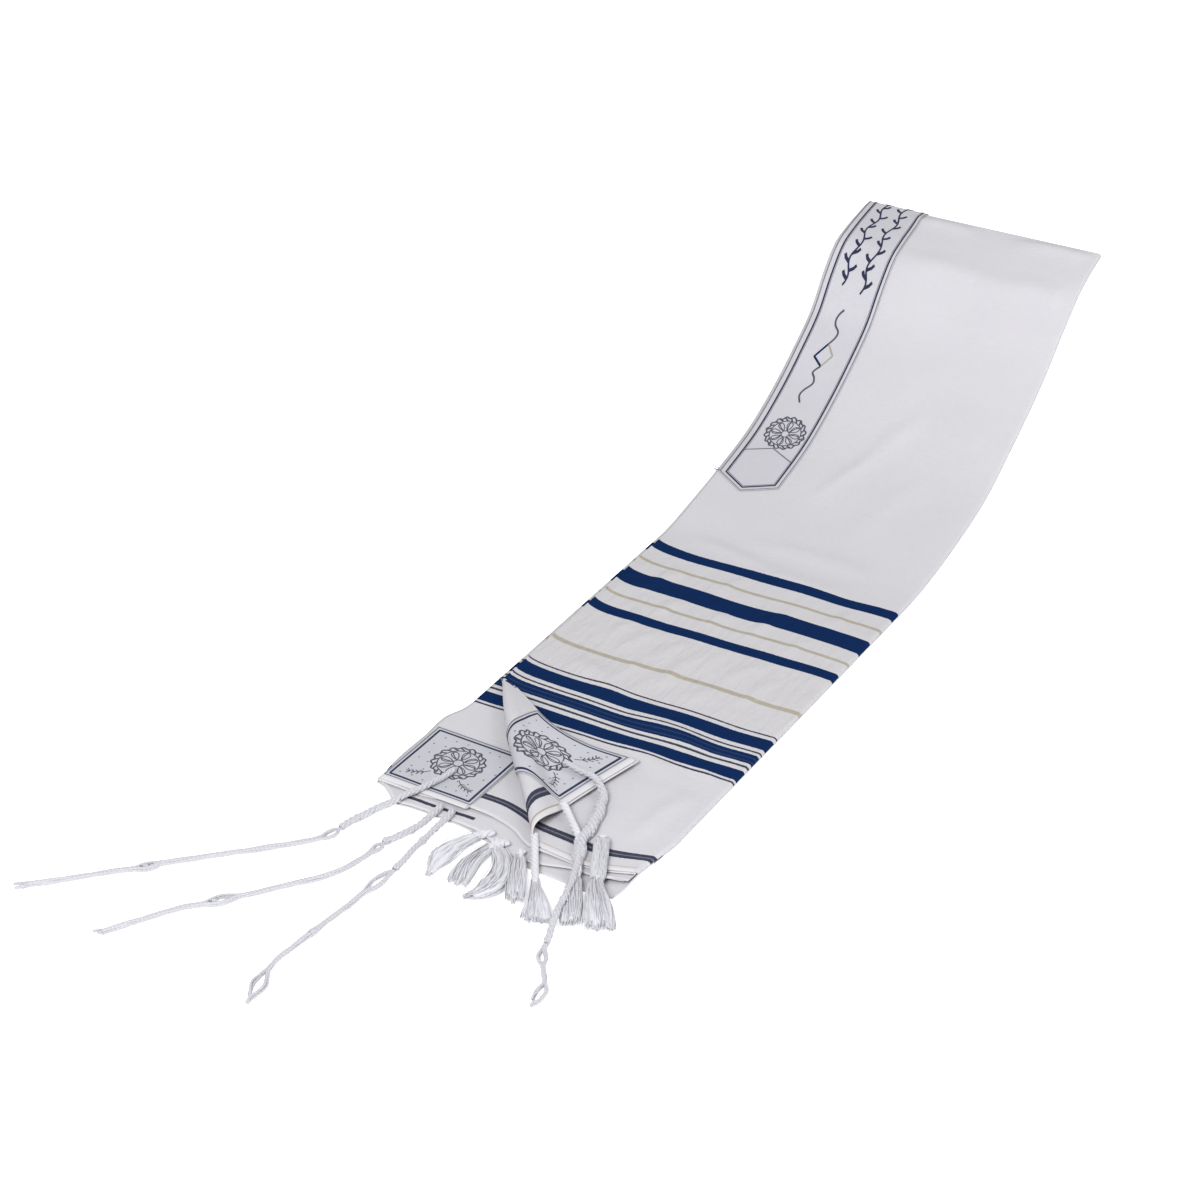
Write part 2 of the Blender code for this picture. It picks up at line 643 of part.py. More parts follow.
# Corner fringes: the knotted cord's route, then the way that its loose strands lie.
FLOOR_Z = 0.0036
CornerFringe = namedtuple("CornerFringe", "name cord loose")
CORNER_FRINGES = (
    CornerFringe(
        "corner_fringe_1",
        ((0.041, 0.033, 0.0098), (0.037, 0.012, 0.0098), (0.031, -0.004, 0.0096),
         (0.022, -0.022, 0.0078), (0.013, -0.040, 0.0050), (0.006, -0.058, 0.0046),
         (0.001, -0.078, 0.0046)),
        ((-0.006, -0.098), (-0.040, -0.135), (-0.093, -0.187), (-0.106, -0.203),
         (-0.137, -0.234), (-0.182, -0.279))),
    CornerFringe(
        "corner_fringe_2",
        ((0.058, -0.0145, 0.0072), (0.057, -0.029, 0.0068), (0.055, -0.046, 0.0048),
         (0.049, -0.062, 0.0046), (0.043, -0.077, 0.0046)),
        ((0.039, -0.105), (0.025, -0.141), (-0.033, -0.216), (-0.051, -0.237),
         (-0.088, -0.297))),
    CornerFringe(
        "corner_fringe_3",
        ((0.070, -0.0155, 0.0072), (0.070, -0.030, 0.0068), (0.069, -0.046, 0.0048),
         (0.069, -0.072, 0.0046), (0.071, -0.104, 0.0046)),
        ((0.067, -0.129), (0.063, -0.178), (0.058, -0.224), (0.057, -0.257),
         (0.067, -0.304))),
    CornerFringe(
        "corner_fringe_4",
        ((0.1215, 0.077, 0.0193), (0.1385, 0.0745, 0.0181), (0.157, 0.071, 0.0170),
         (0.169, 0.060, 0.0120), (0.177, 0.040, 0.0113), (0.182, 0.022, 0.0113),
         (0.187, -0.006, 0.0113), (0.2005, -0.036, 0.0110), (0.2100, -0.063, 0.0118),
         (0.2165, -0.090, 0.0116), (0.2200, -0.103, 0.0104), (0.2235, -0.114, 0.0070),
         (0.2265, -0.1255, 0.0046)),
        ((0.232, -0.141), (0.252, -0.171), (0.256, -0.197))),
)
KNOTS = (0.40, 0.72, 1.0)


def make_corner_fringe(row, finish, collection):
    """A cord wound and knotted for part of its length, then eight loose strands."""
    route = smooth_route([world(*point) for point in row.cord], 0.0062)
    radii = []
    for i in range(len(route)):
        part = i / (len(route) - 1)
        knot = max(math.exp(-((part - at) / 0.035) ** 2) for at in KNOTS)
        radii.append(CORD_RADIUS + (KNOT_RADIUS - CORD_RADIUS) * knot)
    kept = smooth_route([route[-1]] + [world(x, y, FLOOR_Z) for x, y in row.loose], 0.026)
    directions = frames(kept)
    places = flat_ring(CORNER_STRANDS, 0.0044, 0.0013)
    close = flat_ring(CORNER_STRANDS, 0.0030, 0.0013)
    tails = []
    for k in range(CORNER_STRANDS):
        tail = []
        first = kept[0].lerp(kept[1], 0.25)
        stops = [(first, directions[0], close[k], ROOT_RADIUS)]
        stops += [(kept[i], directions[i], places[k], STRAND_RADIUS) for i in range(1, len(kept))]
        for centre, (side, _), (out, high), radius in stops:
            point = centre + side * out
            point.z = max(centre.z, FLOOR_Z) + high
            tail.append((point, radius))
        tails.append(tail)
    cord_with_strands(row.name, route, radii, tails, finish, collection)


def clear_scene():
    for item in list(bpy.data.objects):
        bpy.data.objects.remove(item, do_unlink=True)


def main():
    clear_scene()
    collection = bpy.data.collections.new(COLLECTION)
    bpy.context.scene.collection.children.link(collection)
    cloth = material("white_cloth", (0.80, 0.80, 0.83), 0.85)
    layers = material("white_cloth_layers", (0.74, 0.74, 0.78), 0.85)
    satin = material("neckband_satin", (0.82, 0.82, 0.86), 0.45)
    patch = material("patch_satin", (0.82, 0.82, 0.86), 0.50)
    yarn = material("white_yarn", (0.88, 0.88, 0.90), 0.90)
    make_folded_layers(layers, collection)
    make_top_cloth(cloth, collection)
    make_neckband(satin, collection)
    make_lower_patch(patch, collection)
    make_upper_patch(patch, collection)
    make_tassels(yarn, collection)
    for row in CORNER_FRINGES:
        make_corner_fringe(row, yarn, collection)


main()
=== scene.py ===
"""Dresses the folded tallit: woven cloth layers, embroidered band and patches, tassels, fringes.

Lengths are metres. Layout coordinates are the CAD's: x across from the left selvage, y along
from the near end, z up; the row frame's origin is at layout (0.125, 0.22, 0).
"""
import math

import bpy
import numpy as np
from mathutils import Matrix, Vector


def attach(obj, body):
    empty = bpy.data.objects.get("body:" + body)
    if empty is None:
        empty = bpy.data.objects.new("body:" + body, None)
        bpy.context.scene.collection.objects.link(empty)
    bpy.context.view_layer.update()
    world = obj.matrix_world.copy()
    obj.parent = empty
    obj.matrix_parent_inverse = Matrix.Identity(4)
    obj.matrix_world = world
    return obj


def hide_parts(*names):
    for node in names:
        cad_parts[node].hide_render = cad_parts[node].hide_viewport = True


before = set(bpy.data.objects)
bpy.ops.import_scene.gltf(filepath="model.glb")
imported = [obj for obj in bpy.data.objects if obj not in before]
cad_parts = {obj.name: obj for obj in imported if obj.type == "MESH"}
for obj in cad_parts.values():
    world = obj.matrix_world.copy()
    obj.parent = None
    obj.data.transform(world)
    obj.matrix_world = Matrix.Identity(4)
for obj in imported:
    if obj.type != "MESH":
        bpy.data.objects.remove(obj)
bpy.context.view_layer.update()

RNG = np.random.default_rng(5784)
FOLDED_WIDTH, ORIGIN_Y, FAR_END_Y = 0.25, 0.22, 0.87
SHIFT = np.array([-FOLDED_WIDTH / 2, -ORIGIN_Y, 0.0])
EDGE_RADIUS = 0.0035
RIM_RADIUS = 0.00275
TOP_HEIGHT = 0.00625
STACK_HEIGHT = 0.007
FLAT_RIGHT_X = FOLDED_WIDTH - EDGE_RADIUS
FLAT_FAR_Y = FAR_END_Y - EDGE_RADIUS
QUARTER = math.pi / 2
CLOTH_WALL = 0.0009
PLAIN_PART = 0.1  # length of cloth between a woven end and the stripes

# -------- small helpers

def ramp(value, width):
    """0 below zero, 1 above a width, and straight between them."""
    return np.clip(value / width, 0, 1)


def same_shape(*values):
    return np.broadcast_arrays(*(np.asarray(value, float) for value in values))


def unit(vectors):
    return vectors / np.maximum(np.linalg.norm(vectors, axis=-1, keepdims=True), 1e-12)


def walked(points):
    """How far along a line each of its points lies."""
    return np.concatenate([[0], np.cumsum(np.linalg.norm(np.diff(points, axis=0), axis=1))])


def resample(at, known, rows):
    """Rows that are given at known places, read off at other places."""
    return np.stack([np.interp(at, known, column) for column in np.transpose(rows)], -1)


def drawn_out(values, count):
    """A short list of values, drawn out evenly to a count of them."""
    return np.interp(np.linspace(0, 1, count), np.linspace(0, 1, len(values)), values)


def spaced(start, stop, step):
    return np.linspace(start, stop, max(2, round(abs(stop - start) / step) + 1))


def add_object(name, data):
    made = bpy.data.objects.new(name, data)
    bpy.context.scene.collection.objects.link(made)
    return made


# -------- camera, light and floor

VIEW_AZIMUTH = math.radians(30.485)
VIEW_ELEVATION = math.radians(31.905)
VIEW_FROM = Vector((1.36975 - FOLDED_WIDTH / 2, -1.98446 - ORIGIN_Y, 1.67884))
LIGHTS_AIM = Vector((0, 0.1, 0.05))
FLOOR_GLOW = 0.47
SKY_STRENGTH = 0.59


def add_camera():
    level = math.cos(VIEW_ELEVATION)
    forward = Vector((-math.sin(VIEW_AZIMUTH) * level, math.cos(VIEW_AZIMUTH) * level,
                      -math.sin(VIEW_ELEVATION)))
    right = Vector((math.cos(VIEW_AZIMUTH), math.sin(VIEW_AZIMUTH), 0.0))
    turn = Matrix((right, right.cross(forward), -forward)).transposed().to_4x4()
    data = bpy.data.cameras.new("camera")
    data.lens, data.sensor_width, data.clip_end = 105.0, 36.0, 50.0
    camera = add_object("camera", data)
    camera.matrix_world = Matrix.Translation(VIEW_FROM) @ turn
    bpy.context.scene.camera = camera


def add_area_light(name, place, size, power):
    data = bpy.data.lights.new(name, "AREA")
    data.energy, data.size = power, size
    light = add_object(name, data)
    light.location = place
    light.rotation_euler = (LIGHTS_AIM - Vector(place)).to_track_quat("-Z", "Y").to_euler()


def add_floor_and_light():
    bpy.ops.mesh.primitive_plane_add(size=14.0, location=(0, 0, 0))
    floor = bpy.context.object
    floor.name = "floor"
    paper = Nodes("floor", (0.94, 0.94, 0.94), 0.9)
    for socket, value in (("Specular IOR Level", 0.1), ("Emission Color", (1, 1, 1, 1)),
                          ("Emission Strength", FLOOR_GLOW)):
        paper.shader.inputs[socket].default_value = value
    floor.data.materials.append(paper.material)
    world = bpy.data.worlds.new("studio")
    bpy.context.scene.world = world
    world.use_nodes = True
    sky = world.node_tree.nodes["Background"]
    sky.inputs["Color"].default_value = (1, 1, 1, 1)
    sky.inputs["Strength"].default_value = SKY_STRENGTH
    add_area_light("key", (0.5, -2.6, 2.6), 1.3, 120.0)
    add_area_light("fill", (1.7, 1.3, 2.3), 1.6, 24.0)
    bpy.context.scene.view_settings.view_transform = "Standard"


# -------- surface of the shawl

RISE = np.array([  # y, left height, right height
    (0.46, 0.0, 0.0), (0.52, 0.008, 0.005), (0.58, 0.02, 0.017), (0.63, 0.033, 0.032),
    (0.68, 0.056, 0.059), (0.72, 0.081, 0.083), (0.755, 0.107, 0.108), (0.78, 0.139, 0.13),
    (0.8, 0.159, 0.146), (0.82, 0.166, 0.161), (0.845, 0.171, 0.173), (0.87, 0.175, 0.181)])
END_LINES = np.array([  # x, then the woven ends of the top, second, third and fourth layers
    (-0.02, -0.003, -0.006, -0.003, -0.004), (-0.004, -0.0037, -0.0058, -0.0056, -0.0064),
    (0.018, -0.0052, -0.0056, -0.0212, -0.0222), (0.035, -0.0062, -0.0058, -0.0216, -0.0226),
    (0.052, -0.0073, -0.004, -0.0218, -0.0228), (0.068, -0.0086, -0.0022, -0.0221, -0.0231),
    (0.084, -0.01, -0.0024, -0.0226, -0.0236), (0.104, -0.0127, -0.003, -0.025, -0.0262),
    (0.126, -0.0164, -0.0085, -0.0325, -0.035), (0.15, -0.02, -0.0215, -0.0385, -0.043),
    (0.175, -0.0226, -0.0245, -0.0365, -0.0457), (0.2, -0.024, -0.0255, -0.031, -0.0475),
    (0.225, -0.02, -0.0215, -0.031, -0.048), (0.25, -0.01, -0.0115, -0.021, -0.044)])
TOP, SECOND, THIRD, FOURTH = 1, 2, 3, 4
BULGES = np.array([  # y, how far the lower layers stand out past the selvage
    (-0.06, 0.008), (0.0, 0.011), (0.02, 0.0145), (0.04, 0.0155), (0.075, 0.0145),
    (0.1, 0.015), (0.122, 0.006), (0.15, 0.0045), (0.46, 0.004), (0.87, 0.002)])
NEAR_PULL = 0.15
CURLS = np.array([  # distance from apex, roll, middle, selvage heights, swing in degrees
    (0.05, 0.006, 0.005, 0.004, 0.0), (0.1, 0.014, 0.014, 0.009, -6.0),
    (0.14, 0.018, 0.017, 0.012, -8.0), (0.18, 0.017, 0.011, 0.009, -3.5),
    (0.22, 0.0145, 0.006, 0.006, 1.0), (0.27, 0.013, 0.004, 0.005, 1.0)])
FOLD_LINE_ANGLE = math.radians(53.5)
BEND_START = math.radians(51.3)
FLAP_MIDDLE = math.radians(6.0)
FLAP_SELVAGE = math.radians(25.0)
FOLD_CROSSES_Y, APEX_BEYOND = 0.175, 0.05  # where the fold meets the selvage, and its apex
APEX_X = -APEX_BEYOND * math.cos(FOLD_LINE_ANGLE)
APEX_Y = FOLD_CROSSES_Y + APEX_BEYOND * math.sin(FOLD_LINE_ANGLE)


def hermite(table, column, x):
    """Smooth curve through a table's column, held level before it and straight after it."""
    xs, ys, x = table[:, 0], table[:, column], np.asarray(x, float)
    slopes = np.zeros(len(xs))
    slopes[1:-1] = (ys[2:] - ys[:-2]) / (xs[2:] - xs[:-2])
    slopes[-1] = (ys[-1] - ys[-2]) / (xs[-1] - xs[-2])
    i = np.clip(np.searchsorted(xs, x, side="right") - 1, 0, len(xs) - 2)
    span = xs[i + 1] - xs[i]
    t = np.clip((x - xs[i]) / span, 0, 1)
    value = ys[i] * (1 + 2 * t) * (1 - t) ** 2 + ys[i + 1] * t * t * (3 - 2 * t)
    value = value + span * t * (1 - t) * (slopes[i] * (1 - t) - slopes[i + 1] * t)
    return value + slopes[-1] * np.maximum(x - xs[-1], 0)


def end_line(x, layer=TOP):
    return hermite(END_LINES, layer, x)


def bulge(y):
    return hermite(BULGES, 1, y)


def underside(x, y):
    across = np.clip(np.asarray(x) / FOLDED_WIDTH, 0, 1)
    left = hermite(RISE, 1, y)
    right = hermite(RISE, 2, y)
    return left * (1 - across) + right * across


def stack_points(x, y, height):
    """Row-frame points at a height measured square to the stack's underside."""
    x, y, height = same_shape(x, y, height)
    step = 0.001
    slope_x = (underside(x + step, y) - underside(x - step, y)) / (2 * step)
    slope_y = (underside(x, y + step) - underside(x, y - step)) / (2 * step)
    normal = unit(np.stack([-slope_x, -slope_y, np.ones_like(slope_x)], -1))
    return np.stack([x, y, underside(x, y)], -1) + SHIFT + normal * height[..., None]


def angle_past_bend(x, y):
    """Angle about the curl's apex, counted from where the cloth starts to bend over."""
    return np.arctan2(APEX_Y - y, x - APEX_X) - BEND_START


def rim_turn(turn_x, turn_y):
    """How far a rounded edge has turned, and its heading, also where two edges meet."""
    turn = np.maximum(np.maximum(turn_x, turn_y), 1e-9)
    return turn, math.pi / 4 * (turn_y / turn + 1 - turn_x / turn)


def flap_height(roll, middle, selvage, past_bend):
    """Height of the flap beyond the bend: it falls from the roll, then runs to the selvage."""
    ease = ramp(past_bend, FLAP_MIDDLE)
    ease = ease * ease * (3 - 2 * ease)
    out = ramp(past_bend - FLAP_MIDDLE, FLAP_SELVAGE - FLAP_MIDDLE)
    return roll * (1 - ease) + ease * (middle * (1 - out) + selvage * out)


def curled_points(x, y):
    """Row-frame points of the top cloth's middle where the corner is curled over."""
    distance = np.hypot(x - APEX_X, APEX_Y - y)
    past_start = angle_past_bend(x, y)
    reach = np.clip(distance, CURLS[0, 0], CURLS[-1, 0])
    roll, middle, selvage, swing = (hermite(CURLS, k, reach) for k in (1, 2, 3, 4))
    radius = roll / 2
    bend = math.pi * radius / distance
    turn = np.clip(past_start / bend, 0, 1) * math.pi
    heading = BEND_START + radius / distance * np.sin(turn)
    height = radius * (1 - np.cos(turn))
    past_bend = np.maximum(past_start - bend, 0)
    before = roll / distance
    steps = 24
    settled = np.full_like(distance, BEND_START)
    for k in range(1, steps + 1):
        after = flap_height(roll, middle, selvage, past_bend * k / steps) / distance
        settled -= np.sqrt(np.maximum((past_bend / steps) ** 2 - (after - before) ** 2, 0))
        before = after
    settled -= np.radians(swing) * np.minimum(past_bend / FLAP_SELVAGE, 1)
    lying = past_bend > 0
    heading = np.where(lying, settled, heading)
    height = np.where(lying, flap_height(roll, middle, selvage, past_bend), height)
    level = np.sqrt(distance ** 2 - height ** 2)
    points = np.stack([APEX_X + level * np.cos(heading), APEX_Y - level * np.sin(heading),
                       TOP_HEIGHT + height], -1)
    return points + SHIFT


def corner_pull(x, y):
    """How far the cloth's near right corner is drawn in."""
    return 0.0065 * ramp(x - 0.15, 0.1) * ramp(0.04 - y, 0.045)


def cloth_points(x, y):
    """Row-frame points of the top cloth's middle; past the panel it rounds the folded edges."""
    x, y = same_shape(x, y)
    turn, heading = rim_turn(np.maximum(0, (x - FLAT_RIGHT_X) / RIM_RADIUS),
                             np.maximum(0, (y - FLAT_FAR_Y) / RIM_RADIUS))
    rim = RIM_RADIUS * np.sin(turn)
    flat = stack_points(np.minimum(x, FLAT_RIGHT_X) + rim * np.cos(heading),
                        np.minimum(y, FLAT_FAR_Y) + rim * np.sin(heading),
                        EDGE_RADIUS + RIM_RADIUS * np.cos(turn) + ripple(x, y))
    flat[..., 0] -= corner_pull(x, y)
    curled = (y < APEX_Y) & (angle_past_bend(x, y) > 0)
    return np.where(curled[..., None], curled_points(x, y), flat)


# Soft ridges of the top layer: from x, y to x, y, half width and height.
RIDGES = (
    (0.055, 0.804, 0.185, 0.808, 0.012, 0.004), (0.15, 0.806, 0.266, 0.812, 0.011, 0.0046),
    (0.16, 0.86, 0.27, 0.864, 0.01, 0.0046), (0.05, 0.858, 0.125, 0.862, 0.0095, 0.0036),
    (0.112, 0.6, 0.158, 0.7, 0.01, 0.0022), (0.098, 0.56, 0.128, 0.64, 0.0075, 0.0016),
    (0.15, 0.52, 0.19, 0.64, 0.013, 0.0012), (0.06, 0.487, 0.215, 0.492, 0.011, 0.0016),
    (0.02, 0.47, 0.12, 0.455, 0.008, 0.0015), (0.09, 0.448, 0.2, 0.452, 0.007, 0.001),
    (0.04, 0.268, 0.052, 0.318, 0.0055, 0.0015), (0.062, 0.262, 0.079, 0.316, 0.005, 0.0017),
    (0.083, 0.222, 0.09, 0.26, 0.006, 0.0014), (0.1, 0.266, 0.108, 0.312, 0.006, 0.0016),
    (0.118, 0.225, 0.131, 0.309, 0.0065, 0.0018), (0.142, 0.263, 0.148, 0.318, 0.005, 0.0013),
    (0.158, 0.223, 0.163, 0.256, 0.006, 0.0015), (0.171, 0.268, 0.186, 0.314, 0.007, 0.0015),
    (0.197, 0.236, 0.205, 0.3, 0.0055, 0.0012), (0.06, 0.332, 0.075, 0.372, 0.006, 0.0012),
    (0.11, 0.34, 0.118, 0.372, 0.0065, 0.0014), (0.15, 0.338, 0.166, 0.402, 0.0075, 0.0014),
    (0.195, 0.332, 0.2, 0.369, 0.006, 0.0011), (0.09, 0.392, 0.104, 0.432, 0.0065, 0.0012),
    (0.03, 0.36, 0.048, 0.42, 0.007, 0.0014), (0.205, 0.388, 0.214, 0.43, 0.006, 0.001),
    (0.03, 0.238, 0.11, 0.205, 0.011, 0.0022), (0.12, 0.19, 0.215, 0.168, 0.012, 0.0024),
    (0.12, 0.15, 0.2, 0.122, 0.011, 0.0016), (0.19, 0.15, 0.238, 0.135, 0.008, 0.0012),
    (0.214, 0.02, 0.226, 0.11, 0.009, 0.0022), (0.196, 0.012, 0.18, 0.06, 0.009, 0.001),
)


def ripple(x, y):
    """Slight waves of the lying cloth, only ever upwards; none at the folds and the curl."""
    x, y = same_shape(x, y)
    inside = ramp(FLAT_RIGHT_X - x, 0.016) * ramp(FLAT_FAR_Y - y, 0.008)
    clear = np.where(y < APEX_Y, ramp(-angle_past_bend(x, y), 0.2), 1.0)
    wave = 0.5 + 0.25 * np.sin(61 * x + 9 * y + 1.3) + 0.25 * np.sin(27 * x - 31 * y + 0.4)
    height = 0.0006 * wave
    for x0, y0, x1, y1, half, rise in RIDGES:
        length = math.hypot(x1 - x0, y1 - y0)
        ux, uy = (x1 - x0) / length, (y1 - y0) / length
        along = ((x - x0) * ux + (y - y0) * uy) / length
        bow = 0.12 * half * np.sin(3 * math.pi * along)
        across = (x - x0) * -uy + (y - y0) * ux + bow
        fade = np.clip(1.15 * np.sin(math.pi * np.clip(along, 0, 1)), 0, 1)
        height = height + rise * fade * np.exp(-(across / half) ** 2)
    return height * inside * clear * clear * (3 - 2 * clear)


def cloth_offset(x, y, lift):
    """Points moved off the top cloth's middle along its right side's normal."""
    x, y = same_shape(x, y)
    step = 0.0005
    along_x = cloth_points(x + step, y) - cloth_points(x - step, y)
    along_y = cloth_points(x, y + step) - cloth_points(x, y - step)
    return cloth_points(x, y) + unit(np.cross(along_x, along_y)) * np.asarray(lift)[..., None]


# -------- mesh helpers

def add_piece(name, points, faces, material, uvs, inner_material=None):
    mesh = bpy.data.meshes.new(name)
    mesh.from_pydata([tuple(p) for p in np.asarray(points, float).reshape(-1, 3)], [],
                     [tuple(int(i) for i in face) for face in faces])
    layer = mesh.uv_layers.new(name="cloth")
    loops = np.zeros(len(mesh.loops), np.int32)
    mesh.loops.foreach_get("vertex_index", loops)
    layer.data.foreach_set("uv", np.asarray(uvs, np.float32).reshape(-1, 2)[loops].ravel())
    mesh.polygons.foreach_set("use_smooth", [True] * len(mesh.polygons))
    mesh.materials.append(material)
    if inner_material:
        mesh.materials.append(inner_material)
    made = add_object(name, mesh)
    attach(made, "root")
    return made


def grid_faces(rows, columns, closed=False):
    i, j = np.meshgrid(np.arange(rows - 1), np.arange(columns if closed else columns - 1),
                       indexing="ij")
    after = (j + 1) % columns
    return np.stack([i * columns + j, i * columns + after, (i + 1) * columns + after,
                     (i + 1) * columns + j], -1).reshape(-1, 4)


def add_shell(piece, wall):
    """Gives a sheet its wall; its wrong side takes the second material, if there is one."""
    shell = piece.modifiers.new("wall", "SOLIDIFY")
    shell.thickness, shell.offset = wall, 0.0
    shell.use_quality_normals = True
    shell.material_offset = len(piece.data.materials) - 1
    return piece


def axes(path):
    """Unit vectors along a path, level to its side, and square to both."""
    along = unit(np.gradient(path, axis=0))
    side = np.cross(along, (0, 0, 1.0))
    steep = np.linalg.norm(side, axis=1) < 0.1
    side[steep] = np.cross(along[steep], (0, 1.0, 0))
    side = unit(side)
    return along, side, np.cross(side, along)


def skin(path, radius, depth):
    """Vertices, faces and (round, along) coordinates of a closed skin of rings round a path.

    Radius and depth have a row for each point of the path and a column for each side.
    """
    _, side, up = axes(path)
    sides = radius.shape[1]
    share = np.arange(sides) / sides
    angle = 2 * math.pi * np.arange(sides) / sides
    ring = (path[:, None] + (radius * np.cos(angle))[..., None] * side[:, None]
            + (depth * np.sin(angle))[..., None] * up[:, None])
    faces = [list(face)[::-1] for face in grid_faces(len(path), sides, closed=True)]
    faces += [list(range(sides)), [len(path) * sides - 1 - k for k in range(sides)]]
    uv = np.stack([np.tile(share, len(path)), np.repeat(walked(path), sides)], -1)
    return ring.reshape(-1, 3), faces, uv


def tube(path, radius, sides):
    radius = np.broadcast_to(np.asarray(radius, float), len(path))[:, None] * np.ones(sides)
    return skin(path, radius, radius)


LOCK_SIDES, FLUTE_DEPTH = 20, 0.13
FLUTE_TWIST = 260  # radians in a metre


def fluted(path, radius, depth, flutes, phase):
    """A soft lock of yarn: a flattened tube whose skin is ribbed by its twisting strands."""
    angle = 2 * math.pi * np.arange(LOCK_SIDES) / LOCK_SIDES
    swell = 1 + FLUTE_DEPTH * np.cos(flutes * angle + FLUTE_TWIST * walked(path)[:, None] + phase)
    return skin(path, radius[:, None] * swell, depth[:, None] * swell)


class Bundle:
    """Many tubes gathered into one mesh."""

    def __init__(self):
        self.points, self.faces, self.uvs, self.count = [], [], [], 0

    def add(self, part):
        points, faces, uv = part
        self.faces += [[i + self.count for i in face] for face in faces]
        self.points.append(points)
        self.uvs.append(uv)
        self.count += len(points)

    def piece(self, name, material):
        return add_piece(name, np.concatenate(self.points), self.faces, material,
                         np.concatenate(self.uvs))


# -------- materials

def toned(colour, factor, added=0.0):
    return tuple(factor * part + added for part in colour)


class Nodes:
    """Short names for making shader nodes."""

    def __init__(self, name, colour, roughness, sheen=0.0):
        self.material = bpy.data.materials.new(name)
        self.material.use_nodes = True
        self.tree = self.material.node_tree
        self.shader = self.tree.nodes["Principled BSDF"]
        self.shader.inputs["Base Color"].default_value = (*colour, 1)
        self.shader.inputs["Roughness"].default_value = roughness
        self.shader.inputs["Sheen Weight"].default_value = sheen
        self.shader.inputs["Specular IOR Level"].default_value = 0.02

    def node(self, kind, **settings):
        made = self.tree.nodes.new(kind)
        for key, value in settings.items():
            setattr(made, key, value)
        return made

    def link(self, source, target):
        self.tree.links.new(source, target)
        return source

    def put(self, socket, value):
        if isinstance(value, (int, float)):
            socket.default_value = value
        elif isinstance(value, tuple):
            socket.default_value = (*value, 1) if len(value) == 3 else value
        else:
            self.link(value, socket)

    def math(self, operation, a, b=0.0, clamp=False):
        made = self.node("ShaderNodeMath", operation=operation, use_clamp=clamp)
        for socket, value in zip(made.inputs, (a, b)):
            self.put(socket, value)
        return made.outputs[0]

    def times(self, a, b, clamp=False):
        return self.math("MULTIPLY", a, b, clamp)

    def wave(self, place, length):
        return self.math("SINE", self.times(place, 2 * math.pi / length))

    def within(self, place, middle, half, steepness):
        """1 less than half away from a middle, and 0 beyond that."""
        away = self.math("ABSOLUTE", self.math("SUBTRACT", place, middle))
        return self.times(self.math("SUBTRACT", half, away), steepness, clamp=True)

    def mix(self, factor, a, b):
        made = self.node("ShaderNodeMix", data_type="RGBA")
        self.put(made.inputs["Factor"], factor)
        colours = [socket for socket in made.inputs if socket.type == "RGBA"]
        for socket, value in zip(colours, (a, b)):
            self.put(socket, value)
        return next(socket for socket in made.outputs if socket.type == "RGBA")

    def uv(self):
        split = self.node("ShaderNodeSeparateXYZ")
        self.link(self.node("ShaderNodeUVMap", uv_map="cloth").outputs[0], split.inputs[0])
        return split.outputs[0], split.outputs[1]

    def noise(self, scale, detail=2.0, stretch=None):
        made = self.node("ShaderNodeTexNoise")
        made.inputs["Scale"].default_value = scale
        made.inputs["Detail"].default_value = detail
        vector = self.node("ShaderNodeTexCoord").outputs["Object"]
        if stretch:
            mapping = self.node("ShaderNodeMapping")
            mapping.inputs["Scale"].default_value = stretch
            self.link(vector, mapping.inputs["Vector"])
            vector = mapping.outputs[0]
        self.link(vector, made.inputs["Vector"])
        return made.outputs["Fac"]

    def colour(self, value):
        self.put(self.shader.inputs["Base Color"], value)

    def bump(self, height, distance, strength=1.0):
        made = self.node("ShaderNodeBump")
        made.inputs["Strength"].default_value = strength
        made.inputs["Distance"].default_value = distance
        self.put(made.inputs["Height"], height)
        before = self.shader.inputs["Normal"]
        if before.is_linked:
            self.link(before.links[0].from_socket, made.inputs["Normal"])
        self.link(made.outputs[0], before)


WHITE = (0.56, 0.552, 0.582)
# ground between the stripes, darkened as painted shade of its crinkles
SHADED_STRIPE_GROUND = (0.52, 0.508, 0.52)
NAVY = (0.0034, 0.016, 0.064)
PIN = (0.018, 0.032, 0.08)
GOLD = (0.31, 0.285, 0.235)
CHARCOAL = (0.036, 0.039, 0.06)
FRAME_BLUE = (0.024, 0.028, 0.062)
THREAD_GREY = (0.12, 0.122, 0.15)
MOTIF_GREY = (0.07, 0.072, 0.095)
# colour of the painted shadow line along the top end's hem
HEM_SHADOW_BEIGE = (0.34, 0.29, 0.2)

# Woven stripes: centre and half width along the cloth in metres, and colour.
STRIPES = (
    (0.438, 0.0067, NAVY), (0.4105, 0.0019, GOLD), (0.379, 0.0112, NAVY),
    (0.3475, 0.0019, GOLD), (0.3217, 0.0063, NAVY), (0.2553, 0.0027, GOLD),
    (0.2129, 0.001, CHARCOAL), (0.1992, 0.0081, NAVY), (0.1852, 0.0011, CHARCOAL),
    (0.1737, 0.007, NAVY), (0.17, 0.0008, PIN), (0.1757, 0.0008, PIN),
    (0.1613, 0.0014, CHARCOAL), (0.1473, 0.0074, NAVY), (0.1361, 0.0012, CHARCOAL),
)
END_BAND = ((0.019, 0.0036, THREAD_GREY), (0.0212, 0.0016, CHARCOAL), (0.0168, 0.0016, CHARCOAL))
NARROW_END_BAND = ((0.0216, 0.0016, CHARCOAL),)
END_BAND_REACH, STRIPE_SOFTNESS = 0.03, 0.0002
THREAD_PITCH, SATIN_PITCH = 0.0011, 0.0009
